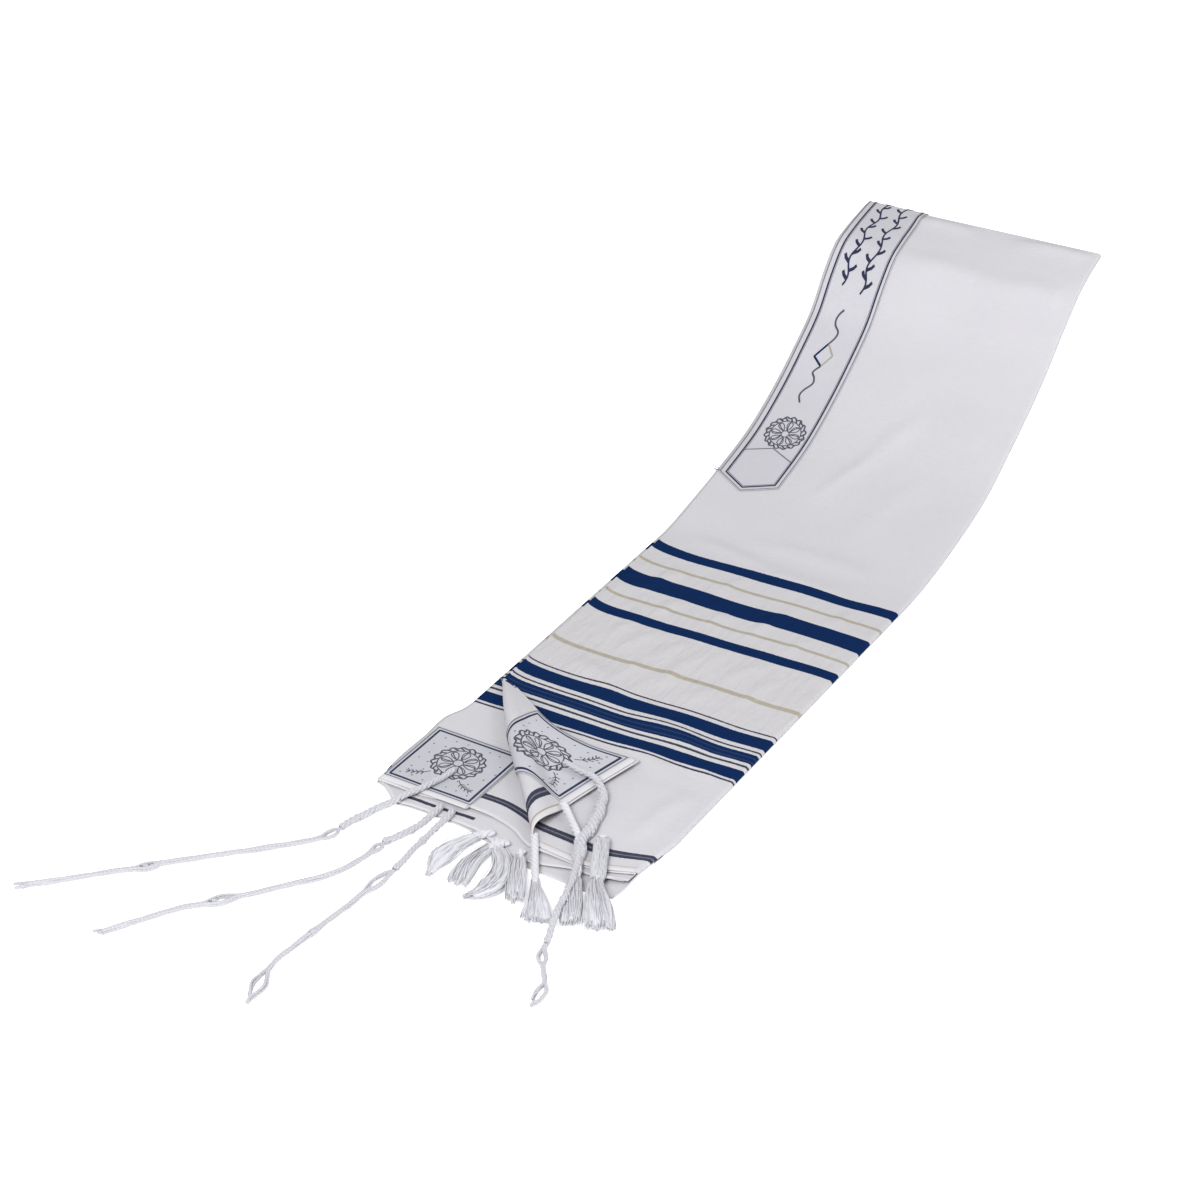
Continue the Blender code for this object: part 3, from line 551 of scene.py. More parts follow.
# Stretches along the cloth: middle and half length; the second is where the ground between the
# stripes is painted darker, as painted shade of its crinkles.
CRINKLED_PART, CRINKLE_SHADE_PART = (0.295, 0.185), (0.29, 0.165)
SKEW = np.array([  # x, how far the stripes lean towards the near end
    (0.0, 0.0032), (0.06, 0.0022), (0.15, 0.0), (0.22, -0.0012), (0.25, -0.0016)])


def weave(nodes, u, v):
    """Plain weave: threads both ways, under slow slubs and a crimp along the striped part."""
    nodes.bump(nodes.times(nodes.wave(u, THREAD_PITCH), nodes.wave(v, THREAD_PITCH)), 0.00012)
    nodes.bump(nodes.noise(260, 3, (0.35, 1.6, 1.0)), 0.0006, 0.5)
    striped_part = nodes.within(v, *CRINKLED_PART, steepness=12.0)
    crinkle = nodes.noise(62, 4, (2.2, 0.55, 1.0))
    nodes.bump(nodes.times(crinkle, striped_part), 0.0038, 0.6)


def cloth_material(name, stripes, band_span=None):
    """Cloth with stripes. band_span limits the band by the end to a middle and half length."""
    nodes = Nodes(name, WHITE, 0.9)
    u, v = nodes.uv()
    wobble = nodes.math("SUBTRACT", nodes.noise(420, 1), 0.5)
    sway = nodes.math("SUBTRACT", nodes.noise(16, 0, (1.0, 0.6, 0.0)), 0.5)
    v_woven = nodes.math("ADD", v, nodes.times(wobble, 0.0008))
    v_woven = nodes.math("ADD", v_woven, nodes.times(sway, 0.006))
    colour = nodes.mix(nodes.noise(14, 4), toned(WHITE, 0.93), WHITE)
    # painted shade: the ground between the stripes is darkened for the shade of its crinkles
    crinkle_shade = nodes.within(v, *CRINKLE_SHADE_PART, steepness=25.0)
    colour = nodes.mix(nodes.times(crinkle_shade, 0.6), colour, SHADED_STRIPE_GROUND)
    slubs = nodes.noise(900, 1, (0.15, 1.0, 1.0))
    for centre, half, shade in stripes:
        inside = nodes.within(v_woven, centre, half + STRIPE_SOFTNESS, steepness=2500)
        if band_span and centre < END_BAND_REACH:
            inside = nodes.times(inside, nodes.within(u, *band_span, steepness=900))
        colour = nodes.mix(inside, colour, nodes.mix(slubs, shade, toned(shade, 1.4, 0.001)))
    nodes.colour(colour)
    weave(nodes, u, v)
    return nodes.material


def satin_material(name, tone):
    nodes = Nodes(name, tone, 0.42)
    nodes.shader.inputs["Specular IOR Level"].default_value = 0.3
    _, v = nodes.uv()
    # painted sheen: broad lighter and darker patches in the satin's colour
    sheen = nodes.mix(nodes.noise(22), toned(tone, 0.88), toned(tone, 1.06))
    nodes.colour(nodes.mix(nodes.noise(140, 3), sheen, toned(tone, 0.94)))
    nodes.bump(nodes.wave(v, SATIN_PITCH), 0.00008)
    nodes.bump(nodes.noise(180), 0.0005, 0.5)
    nodes.bump(nodes.noise(60, 1), 0.0012, 0.4)
    return nodes.material


def yarn_material(name, colour, shade, ply=0.0):
    """Yarn or hem cloth, down to a shade of its colour; ply is the length of its twist."""
    nodes = Nodes(name, colour, 0.85, sheen=0.3)
    nodes.colour(nodes.mix(nodes.noise(60, 3), toned(colour, shade), colour))
    if ply:
        u, v = nodes.uv()
        turn = nodes.math("ADD", nodes.times(u, 4 * math.pi), nodes.times(v, 2 * math.pi / ply))
        nodes.bump(nodes.math("SINE", turn), 0.00022)
    nodes.bump(nodes.noise(900), 0.0003, 0.6)
    return nodes.material


def thread_material(name, colour):
    nodes = Nodes(name, colour, 0.6, sheen=0.1)
    nodes.colour(nodes.mix(nodes.noise(500), toned(colour, 0.8), toned(colour, 1.15)))
    nodes.bump(nodes.noise(1500, 1), 0.0002, 0.6)
    return nodes.material


# -------- cloth layers

def rim_steps(radius, count):
    """Lengths from a rounded edge's start to the end of its quarter turn."""
    return radius * QUARTER * np.arange(1, count + 1) / count


def end_blend(v, end):
    """Layout y of a place v along the cloth from its woven end, which lies at y = end."""
    return v + end * np.clip(1 - v / PLAIN_PART, 0, 1)


def make_top_cloth(right_side, wrong_side):
    rim = rim_steps(RIM_RADIUS, 6)
    x = np.concatenate([spaced(0, FLAT_RIGHT_X, 0.003), FLAT_RIGHT_X + rim])
    v = np.concatenate([spaced(0, 0.196, 0.0024), spaced(0.196, FLAT_FAR_Y, 0.0034)[1:],
                        FLAT_FAR_Y + rim])
    along, across = np.meshgrid(v, x, indexing="ij")
    points = cloth_points(across, end_blend(along, end_line(across)))
    drawn_up = 0.008 * np.exp(-across / 0.014) * ramp(along - PLAIN_PART, 0.05)
    lean = hermite(SKEW, 1, across) * ramp(along - PLAIN_PART, 0.03)
    piece = add_piece("top_layer_cloth", points, grid_faces(len(v), len(x)), right_side,
                      np.stack([across, along - drawn_up + lean], -1), wrong_side)
    add_shell(piece, CLOTH_WALL)
    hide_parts("top_cloth")
    return piece


# Lower layers: name, height of the middle at the panel, which way its folded rims turn,
# radius of the rims, how far its selvage stands in, how far its stripes are shifted, and its
# end line.
LAYERS = (
    ("second_layer_cloth", 0.0042, -1, 0.0009, 0.0, 0.0, SECOND),
    ("third_layer_cloth", 0.0024, 1, 0.0009, 0.0004, 0.014, THIRD),
    ("fourth_layer_cloth", 0.00075, 1, 0.00275, 0.0, -0.024, FOURTH),
)
RIM_COLUMNS = 3


def layer_lift(height, x, v):
    """How far a lower layer's free end rises from the one beneath it, in slack waves."""
    near = np.clip(1 - v / 0.035, 0, 1) ** 2
    corner = ramp(x - 0.195, 0.05) * ramp(height - 0.001, 0.0015)
    waves = 0.0005 * (1 + np.sin(74 * x + 5e3 * height)) * (height > 0.001)
    lip = np.clip(1 - v / 0.011, 0, 1) * np.exp(-((x - 0.229) / 0.011) ** 2)
    gape = 0.0026 * lip * (0.002 < height < 0.003)  # the third layer's only
    return near * (waves * (1 - corner) + 0.0011 * corner) + gape


def lower_end_line(x, height, end):
    """The woven end of a lower layer, with waves of its own."""
    return end_line(x, end) + 0.001 * np.sin(48 * x + 7e3 * height)


def near_pull(x, y):
    """How far a lower layer's near end is drawn in towards the left."""
    slack = NEAR_PULL * np.clip(x / FOLDED_WIDTH, 0, 1) * np.maximum(0.01 - y, 0)
    return np.maximum(slack, corner_pull(x, y))


def make_lower_layer(row, right_side, wrong_side):
    name, height, turn_way, radius, setback, shift, end = row
    rim = rim_steps(radius, RIM_COLUMNS)
    share = np.concatenate([spaced(0, 0.4, 0.0125), spaced(0.4, 1.0, 0.025)[1:]])
    columns = len(share) + RIM_COLUMNS
    v = np.concatenate([spaced(0, 0.2, 0.003), spaced(0.2, FLAT_FAR_Y, 0.008)[1:],
                        FLAT_FAR_Y + rim])
    along = np.repeat(v[:, None], columns, 1)
    y_flat = np.minimum(along, FLAT_FAR_Y)
    inset = 0.0022 * (end == SECOND) * ramp(0.115 - y_flat, 0.02)
    left = (setback + inset - bulge(np.maximum(y_flat, 0.01)))[:, :1]
    x_flat = left + (FLAT_RIGHT_X - left) * np.concatenate([share, np.ones(RIM_COLUMNS)])
    turn_x = np.concatenate([np.zeros(len(share)), rim / radius]) + np.zeros_like(along)
    turn, heading = rim_turn(turn_x, np.maximum(along - FLAT_FAR_Y, 0) / radius)
    x = x_flat + radius * np.sin(turn) * np.cos(heading)
    y = (end_blend(y_flat, lower_end_line(x, height, end))
         + radius * np.sin(turn) * np.sin(heading))
    x = x - near_pull(x, y)
    z = height + turn_way * radius * (1 - np.cos(turn)) + layer_lift(height, x, along)
    piece = add_piece(name, stack_points(x, y, z), grid_faces(len(v), columns), right_side,
                      np.stack([x, along + shift], -1), wrong_side)
    return add_shell(piece, CLOTH_WALL)


HEM_SIDES = 10
# Half widths and half heights of the rolled hems.
END_HEM, SELVAGE_HEM = (0.0028, 0.00075), (0.0014, 0.0007)
LAYER_HEM, PATCH_HEM = (0.0021, 0.0006), (0.0029, 0.0009)


def edge_roll(name, place, start, stop, size, material, woven=False):
    """A narrow rolled hem: a flattened tube along an edge; place(t, out, up) gives its points."""
    t = spaced(start, stop, 0.0024)
    tt, aa = np.meshgrid(t, 2 * math.pi * np.arange(HEM_SIDES) / HEM_SIDES, indexing="ij")
    swell = 1 + 0.06 * np.sin(tt * 900)
    points = place(tt, size[0] * np.cos(aa), size[1] * swell * np.sin(aa))
    faces = [list(face) for face in grid_faces(len(t), HEM_SIDES, closed=True)]
    faces += [list(range(HEM_SIDES))[::-1], [(len(t) - 1) * HEM_SIDES + k for k in range(HEM_SIDES)]]
    drawn_up = 0.0043 * ramp(tt - PLAIN_PART, 0.05)
    uv = [aa / 900, tt - drawn_up] if woven else [tt, aa / 900]
    return add_piece(name, points, faces, material, np.stack(uv, -1))


def make_hems(material, woven, shadow_thread):
    """Rolled hems of the top layer's two free edges and of the lower layers' ends, with a thin beige
    line of painted shadow along the top end's hem.
    """
    def top_end(t, out, up):
        return cloth_offset(t, end_line(t) + 0.0022 + out, up)

    def top_selvage(t, out, up):
        return cloth_offset(0.0011 + out, end_blend(t, end_line(0.0)), up)

    def lower_end(row):
        _, height, _, _, _, _, end = row
        return lambda t, out, up: stack_points(
            t - near_pull(t, end_line(t, end)), lower_end_line(t, height, end) + 0.0016 + out,
            height + layer_lift(height, t, 0 * t) + up)

    pieces = [edge_roll("top_end_hem", top_end, 0.0004, 0.2462, END_HEM, material),
              edge_roll("top_selvage_hem", top_selvage, 0.004, 0.855, SELVAGE_HEM, woven, True)]
    for row in LAYERS:
        pieces.append(edge_roll(f"{row[0]}_hem", lower_end(row), -0.011, 0.244, LAYER_HEM, material))
    # painted shadow: thin beige lines on both sides of the cloth along the top end's hem
    shadow_line_x = spaced(0.001, 0.246, 0.002)
    shadow_line = np.stack([shadow_line_x, end_line(shadow_line_x) + 0.0056], -1)
    bundle = Bundle()
    bundle.add(ribbon(shadow_line, 0.0012, cloth_offset, -0.0004, base=-0.0004))
    bundle.add(ribbon(shadow_line, 0.0006, cloth_offset, 0.0002, base=0.0004))
    return pieces, bundle.piece("top_end_hem_shadow_line", shadow_thread)


# -------- embroidery and sewing

def ribbon(line, width, surface, lift, closed=False, base=0.0):
    """A flat raised thread along a line of layout points, laid on a surface function."""
    line = np.asarray(line, float)
    if closed:
        line = np.vstack([line, line[:1]])
    length = walked(line)
    count = max(2, int(length[-1] / 0.0016) + 1)
    at = np.unique(np.concatenate([np.linspace(0, length[-1], count), length]))
    at = at[np.concatenate([[True], np.diff(at) > 1e-5])]
    centre = resample(at, length, line)
    along = np.gradient(centre, axis=0)
    if closed:
        along[0] = along[-1] = along[0] + along[-1]
    side = unit(np.stack([-along[:, 1], along[:, 0]], -1))
    offsets = ((-0.5, 0.0), (-0.3, 1.0), (0.3, 1.0), (0.5, 0.0))
    rows = [surface(*(centre + side * width * out).T, base + lift * high) for out, high in offsets]
    points = np.stack(rows, 1).reshape(-1, 3)
    uv = np.stack([np.tile([0, 0.3, 0.7, 1.0], len(at)), np.repeat(at, 4)], -1)
    return points, [list(face) for face in grid_faces(len(at), 4)], uv


def closed_curve(centre, radius, wave=0.0, lobes=0):
    angle = np.linspace(0, 2 * math.pi, 96, endpoint=False)
    reach = radius * (1 + wave * np.cos(lobes * angle))
    return centre + reach[:, None] * np.stack([np.cos(angle), np.sin(angle)], -1)


def toward(angle):
    return np.array([math.cos(angle), math.sin(angle)])


def rosette_medallion(centre, radius, bold=1.0):
    """A generic round ornament: scalloped rings, an eight-petal flower and a ring of leaves."""
    lines = [(closed_curve(centre, radius, 0.05, 16), 0.0013 * bold, True),
             (closed_curve(centre, radius * 0.8), 0.0009 * bold, True),
             (closed_curve(centre, radius * 0.2), 0.0009 * bold, True)]
    for k in range(8):
        angle = 2 * math.pi * k / 8
        t = np.linspace(0, math.pi, 14)
        reach = radius * (0.24 + 0.25 * (1 - np.cos(t)))
        for sign, swing in ((-1, 0.26), (1, 0.26), (1, 0.1)):
            spread = sign * swing * np.sin(t)
            petal = centre + np.stack([reach * np.cos(angle + spread),
                                       reach * np.sin(angle + spread)], -1)
            lines.append((petal, 0.0008 * bold, False))
    for k in range(22):
        angle = 2 * math.pi * (k + 0.5) / 22
        leaf = [centre + 0.82 * radius * toward(angle), centre + 0.99 * radius * toward(angle + 0.16)]
        lines.append((np.array(leaf), 0.0013 * bold, False))
    return lines


def spray(base, heading, length, bend):
    """A generic leafy sprig: a bent stem with pairs of short leaves."""
    t = np.linspace(0, 1, 12)
    angle = heading + bend * t
    stem = base + np.stack([np.cumsum(np.cos(angle)), np.cumsum(np.sin(angle))], -1) * length / 12
    lines = [(stem, 0.0008, False)]
    for k in (3, 5, 7, 9):
        for sign in (-1, 1):
            tip = stem[k] + 0.18 * length * toward(angle[k] + sign * 0.8)
            lines.append((np.array([stem[k], tip]), 0.0009, False))
    return lines


def add_lines(name, lines, surface, lift, material, base=0.0):
    bundle = Bundle()
    for line, width, closed in lines:
        bundle.add(ribbon(line, width, surface, lift, closed, base))
    return bundle.piece(name, material)


THREAD_RAISE, FINE_RAISE = 0.00028, 0.0002
PATCH_SIDE, PATCH_MARGIN, PATCH_WALL = 0.088, 0.002, 0.0006
LOWER_PATCH_CORNER = np.array([-0.0105, -0.003])
LOWER_PATCH_TURN = math.radians(-1.3)
LOWER_PATCH_HEIGHT = 0.0057
UPPER_PATCH_LIFT = -0.00125


def lower_patch_place(a, b):
    """Layout place of a point given in the lower patch's own coordinates."""
    c, s = math.cos(LOWER_PATCH_TURN), math.sin(LOWER_PATCH_TURN)
    return LOWER_PATCH_CORNER[0] + a * c - b * s, LOWER_PATCH_CORNER[1] + a * s + b * c


def upper_patch_place(a, b):
    x = PATCH_MARGIN + a
    return x, end_blend(PATCH_MARGIN + b, end_line(x))


def lower_patch_surface(a, b, lift):
    """Row-frame points on the lower patch from its own coordinates and a height above it."""
    edge = ramp(np.minimum.reduce([a, b, PATCH_SIDE - a, PATCH_SIDE - b]), 0.01)
    puff = 0.0007 * edge * (0.6 + 0.4 * np.sin(90 * a + 1) * np.sin(80 * b))
    return stack_points(*lower_patch_place(a, b), LOWER_PATCH_HEIGHT + PATCH_WALL / 2 + puff + lift)


def upper_patch_surface(a, b, lift):
    """The same on the curled corner's patch, which lies on the cloth's wrong side."""
    x, y = upper_patch_place(a, b)
    return cloth_offset(x, y, UPPER_PATCH_LIFT - PATCH_WALL / 2 - lift * np.ones_like(x))


def patch_design():
    """Frame lines, motifs and dots in a patch's own coordinates; the woven end is at b = 0."""
    def frame_line(left, near, right, far):
        right, far = PATCH_SIDE - right, PATCH_SIDE - far
        return np.array([(left, near), (right, near), (right, far), (left, far)])

    dark = [(frame_line(0.0044, 0.0085, 0.0044, 0.0044), 0.0022, True)]
    fine = [(frame_line(0.0012, 0.0055, 0.001, 0.001), 0.0008, True)]
    centre = np.array([0.0455, 0.05])
    motif = rosette_medallion(centre, 0.0225, 1.25)
    for heading, length, bend in ((-2.15, 0.023, -0.9), (-0.95, 0.023, 0.9)):
        motif += spray(centre + 0.0235 * toward(heading), heading, length, bend)
    dots = []
    for i in range(7):
        for j in range(6):
            spot = np.array([0.0105 + 0.0112 * i + 0.0036 * (j % 2), 0.0145 + 0.0124 * j])
            spot = spot + RNG.uniform(-0.001, 0.001, 2)
            if np.linalg.norm(spot - centre) > 0.026 and spot[0] < PATCH_SIDE - 0.007:
                dots.append((np.array([spot, spot + 0.0009]), 0.0011, False))
    return dark, fine, motif + dots


def shown_runs(line, closed, clipped):
    """The stretches of a line that aren't clipped away, as dense rows of points."""
    line = np.vstack([line, line[:1]]) if closed else np.asarray(line, float)
    steps = [np.linspace(p, q, max(2, int(np.linalg.norm(q - p) / 0.0012)), endpoint=False)
             for p, q in zip(line, line[1:])]
    dense = np.concatenate(steps + [line[-1:]])
    shown = ~clipped(dense[:, 0], dense[:, 1])
    runs = np.split(np.arange(len(dense)), np.flatnonzero(np.diff(shown)) + 1)
    return [dense[run] for run in runs if shown[run[0]] and len(run) > 1]


def hidden_past(place, margin):
    """Says which of a patch's points lie under the curl, up to a margin past the bend."""
    return lambda a, b: angle_past_bend(*place(a, b)) < math.radians(margin)


def make_patch(name, surface, clipped, satin, hem, threads):
    """A satin patch with its embroidery, without the part that clipped(a, b) says is hidden."""
    a = spaced(0, PATCH_SIDE, 0.0022)
    bb, aa = np.meshgrid(a, a, indexing="ij")
    points = surface(aa, bb, -PATCH_WALL / 2).reshape(-1, 3)
    uv = np.stack([aa, bb], -1).reshape(-1, 2)
    faces = grid_faces(len(a), len(a))
    faces = faces[~clipped(aa, bb).reshape(-1)[faces].any(1)]
    used = np.unique(faces)
    order = np.full(len(points), -1)
    order[used] = np.arange(len(used))
    cloth = add_shell(add_piece(name, points[used], order[faces], satin, uv[used]), PATCH_WALL)
    parts = [edge_roll(f"{name}_hem", lambda t, out, up: surface(t, 0.0014 + out, up),
                       0.001, 0.0865, PATCH_HEM, hem)]
    sewing = zip(("frame", "edge_stitch", "motif"), patch_design(), ("dark", "grey", "motif"))
    for suffix, lines, thread in sewing:
        kept = [(run, width, False) for line, width, closed in lines
                for run in shown_runs(line, closed, clipped)]
        parts.append(add_lines(f"{name}_{suffix}", kept, surface, THREAD_RAISE,
                               threads[thread]))
    return cloth, parts


BAND_LEFT, BAND_RIGHT, BAND_TIP, BAND_SHOULDER = 0.001, 0.065, 0.5475, 0.0175
BAND_WALL, BAND_GAP, BAND_CLEAR = 0.0006, 0.0003, 0.00014
BAND_HEIGHT = STACK_HEIGHT + BAND_GAP + BAND_WALL / 2
BAND_RADIUS = BAND_HEIGHT - EDGE_RADIUS
BAND_WRAP = math.pi * BAND_RADIUS
BAND_ROUND = 2 * FLAT_FAR_Y + BAND_WRAP
BAND_MIDDLE, BAND_HALF = (BAND_LEFT + BAND_RIGHT) / 2, (BAND_RIGHT - BAND_LEFT) / 2


def band_surface(x, along, lift):
    """Points on the neckband; along is layout y, and goes on round the far fold to the back."""
    x, along, lift = same_shape(x, along, lift)
    turn = np.clip((along - FLAT_FAR_Y) / BAND_RADIUS, 0, math.pi)
    radius = BAND_RADIUS + BAND_WALL / 2 + lift
    y = np.where(along < FLAT_FAR_Y, along,
                 np.where(along > FLAT_FAR_Y + BAND_WRAP, BAND_ROUND - along,
                          FLAT_FAR_Y + radius * np.sin(turn)))
    low = ripple(x, y) * (along < FLAT_FAR_Y)
    return stack_points(x, y, EDGE_RADIUS + radius * np.cos(turn) + low)


def band_tip(x, inset=0.0):
    return BAND_TIP + inset + BAND_SHOULDER * np.abs(x - BAND_MIDDLE) / BAND_HALF


def band_place(length):
    """Layout y of a place given by its length along the cloth, which rises past the panel."""
    level_part = 0.46
    y = np.linspace(level_part, FAR_END_Y, 400)
    return np.interp(length, level_part + walked(np.stack([y, underside(0.03, y)], -1)), y)


def band_outline(left, right, inset):
    """A line round the whole neckband, drawn in from its pointed ends."""
    near = [(x, band_tip(x, inset)) for x in (left, BAND_MIDDLE, right)]
    return np.array(near + [(x, BAND_ROUND - y) for x, y in reversed(near)])


def vine(row_x, start, stop, side):
    """A running stem with leaves turned to either side of it."""
    t = np.linspace(0, 1, 60)
    stem = np.stack([row_x + 0.0024 * np.sin(7 * math.pi * t),
                     band_place(start + (stop - start) * t)], -1)
    lines = [(stem, 0.0017, False)]
    for k in range(3, 58, 4):
        turn = side if (k // 4) % 2 else -side
        leaf = stem[k] + np.array([(0, 0), (0.0042 * turn, 0.0022), (0.0062 * turn, 0.0048)])
        lines.append((leaf, 0.0026, False))
    return lines


def make_neckband(satin, threads):
    x = spaced(BAND_LEFT, BAND_RIGHT, 0.003)
    share = np.linspace(0, 1, 240)
    near, far = band_tip(x), BAND_ROUND - band_tip(x)
    along = near[None] + (far - near)[None] * share[:, None]
    across = np.repeat(x[None], len(share), 0)
    band = add_piece("neckband_satin", band_surface(across, along, -BAND_WALL / 2),
                     grid_faces(len(share), len(x)), satin, np.stack([across, along], -1))
    add_shell(band, BAND_WALL)
    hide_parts("neckband")
    frame_line = [(band_outline(0.0082, 0.06, 0.0052), 0.0017, True)]
    fine = [(band_outline(0.0024, 0.064, 0.001), 0.0008, True),
            (band_outline(0.0098, 0.0584, 0.0072), 0.0005, True),
            (np.array([(0.0084, 0.6005), (0.034, 0.6125), (0.0598, 0.601)]), 0.0012, False)]
    motif = rosette_medallion(np.array([0.036, 0.6335]), 0.0192, 1.15)
    for bends in (((0.0325, 0.67), (0.0285, 0.677), (0.03, 0.6835), (0.0352, 0.6915),
                   (0.0335, 0.6975), (0.0298, 0.7015), (0.0315, 0.7055), (0.0345, 0.709)),
                  ((0.0318, 0.7304), (0.0352, 0.7365), (0.0356, 0.7425), (0.03, 0.748),
                   (0.0284, 0.753), (0.03, 0.758), (0.033, 0.7612))):
        motif.append((smooth_route(bends, 0.0012), 0.0018, False))
    lens_near, lens_far = (0.0345, 0.709), (0.0318, 0.7304)
    navy_side = [(np.array([lens_near, (0.0236, 0.7165), lens_far]), 0.002, False)]
    gold_side = [(np.array([lens_near, (0.0412, 0.7205), lens_far]), 0.0015, False)]
    vines = vine(0.0225, 0.812, 0.935, 1) + vine(0.043, 0.808, 0.935, -1)
    sewing = (("frame", frame_line, "dark"), ("edge_stitch", fine, "grey"),
              ("motifs", motif, "motif"), ("vines", vines, "dark"), ("navy", navy_side, "navy"),
              ("gold", gold_side, "gold"))
    parts = [band]
    for suffix, lines, thread in sewing:
        lift = FINE_RAISE if thread == "grey" else THREAD_RAISE
        parts.append(add_lines(f"neckband_{suffix}", lines, band_surface, lift, threads[thread],
                               BAND_CLEAR))
    return parts


# -------- tassels

# Tassels: neck route, brush route, brush widths along it, how many locks, how far they part,
# and where along the brush they begin to thin out.
TASSELS = (
    ("end_tassel_1",
     ((0.114, -0.0225, 0.0048), (0.111, -0.0262, 0.0062), (0.107, -0.031, 0.006)),
     ((0.105, -0.034, 0.0058), (0.0998, -0.044, 0.0058), (0.096, -0.057, 0.006),
      (0.0946, -0.069, 0.0056), (0.095, -0.08, 0.0044), (0.0968, -0.0935, 0.0026)),
     (0.008, 0.0105, 0.014, 0.015, 0.0105, 0.005), 2, 0.25, 0.6),
    ("end_tassel_2",
     ((0.124, -0.029, 0.0048), (0.1243, -0.033, 0.0064), (0.1238, -0.039, 0.0062)),
     ((0.1232, -0.043, 0.0058), (0.1212, -0.054, 0.0056), (0.1202, -0.066, 0.0052),
      (0.1206, -0.079, 0.0044), (0.1232, -0.0925, 0.0028)),
     (0.0085, 0.012, 0.016, 0.0205, 0.0215), 5, 0.85, 0.6),
    ("end_tassel_3",
     ((0.132, -0.029, 0.0048), (0.1285, -0.033, 0.007), (0.129, -0.0385, 0.0068)),
     ((0.1305, -0.042, 0.0064), (0.14, -0.052, 0.0066), (0.148, -0.066, 0.0066),
      (0.1512, -0.0815, 0.0062), (0.148, -0.095, 0.005), (0.1385, -0.1045, 0.0028)),
     (0.009, 0.0125, 0.0155, 0.0165, 0.0135, 0.006), 2, 0.15, 0.62),
    ("end_tassel_4",
     ((0.149, -0.033, 0.0052), (0.1478, -0.036, 0.0068), (0.15, -0.04, 0.0068)),
     ((0.1515, -0.043, 0.0064), (0.158, -0.055, 0.0062), (0.164, -0.067, 0.0058),
      (0.17, -0.079, 0.0048), (0.1765, -0.091, 0.003)),
     (0.0095, 0.014, 0.0165, 0.0175, 0.018), 4, 0.55, 0.66),
    ("end_tassel_5",
     ((0.147, -0.013, 0.0092), (0.1545, -0.0245, 0.0088), (0.1625, -0.0375, 0.0078),
      (0.17, -0.05, 0.0068), (0.1775, -0.061, 0.0064)),
     ((0.1795, -0.0645, 0.0064), (0.185, -0.073, 0.0062), (0.1912, -0.083, 0.006),
      (0.1975, -0.093, 0.0052), (0.204, -0.1035, 0.0036)),
     (0.0085, 0.012, 0.0185, 0.026, 0.0295), 7, 0.25, 0.84),
    ("end_tassel_6",
     ((0.196, -0.0235, 0.009), (0.1985, -0.029, 0.0094), (0.202, -0.036, 0.0088),
      (0.205, -0.043, 0.0078)),
     ((0.2065, -0.0465, 0.0072), (0.2115, -0.058, 0.0068), (0.2175, -0.07, 0.0064),
      (0.2235, -0.0825, 0.0054), (0.229, -0.0935, 0.0036)),
     (0.01, 0.015, 0.0175, 0.018, 0.0175), 5, 0.25, 0.8),
    ("end_tassel_7",
     ((0.1985, 0.01, 0.0108), (0.2015, 0.003, 0.0114), (0.207, -0.008, 0.0116),
      (0.2125, -0.0195, 0.0114), (0.218, -0.0305, 0.01), (0.2212, -0.0385, 0.0086)),
     ((0.2215, -0.04, 0.0082), (0.227, -0.05, 0.0078), (0.235, -0.062, 0.0074),
      (0.244, -0.075, 0.0064), (0.2525, -0.087, 0.004)),
     (0.01, 0.0165, 0.0235, 0.0285, 0.0305), 7, 0.3, 0.82),
    ("flap_tassel",
     ((0.148, 0.031, 0.0145), (0.1589, 0.0215, 0.0138), (0.17, 0.011, 0.0128),
      (0.18, 0.002, 0.012)),
     ((0.1838, -0.0028, 0.0112), (0.188, -0.0085, 0.0108), (0.1925, -0.018, 0.0106),
      (0.196, -0.027, 0.01)),
     (0.007, 0.0085, 0.008, 0.006), 2, 0.2, 0.7),
)


def helix(route, radius, turns, phase, per_turn):
    """Points winding round a route; a list of radii is drawn out along it."""
    count = max(4, int(turns * per_turn))
    t = np.linspace(0, 1, count)
    core = resample(t, np.linspace(0, 1, len(route)), route)
    _, side, up = axes(core)
    angle = 2 * math.pi * turns * t + phase
    wound = np.cos(angle)[:, None] * side + np.sin(angle)[:, None] * up
    return core + drawn_out(radius, count)[:, None] * wound


def curve_through(points, per_span):
    """Dense points on a Catmull-Rom curve through a route."""
    points = np.asarray(points, float)
    ends = np.vstack([2 * points[0] - points[1], points, 2 * points[-1] - points[-2]])
    t = np.linspace(0, 1, per_span, endpoint=False)[:, None]
    dense = [0.5 * (2 * b + (c - a) * t + (2 * a - 5 * b + 4 * c - d) * t * t
                    + (3 * b - a - 3 * c + d) * t ** 3)
             for a, b, c, d in zip(ends, ends[1:], ends[2:], ends[3:])]
    return np.vstack(dense + [points[-1:]])


def flow(points, count):
    """A count of evenly spaced points on a smooth curve through a route, and its length."""
    dense = curve_through(points, 16)
    length = walked(dense)
    return resample(np.linspace(0, length[-1], count), length, dense), length[-1]


def smooth_route(points, spacing):
    """Points about a spacing apart on a smooth curve through a route."""
    dense = curve_through(points, 24)
    length = walked(dense)
    count = max(3, int(length[-1] / spacing) + 1)
    return resample(np.linspace(0, length[-1], count), length, dense)


def add_yarn(bundle, node, material):
    """The gathered yarn as one piece, in the place of its CAD node."""
    piece = bundle.piece(f"{node}_yarn", material)
    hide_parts(node)
    return piece


def add_knot(bundle, place, along, size, turns=3.2, phase=0.4):
    """A knot of wound yarn about a point."""
    coil = np.stack([place - along * size, place + along * size])
    radii = [0.55 * size, 0.95 * size, 0.55 * size]
    bundle.add(tube(helix(coil, radii, turns, phase, 14), 0.42 * size, 6))


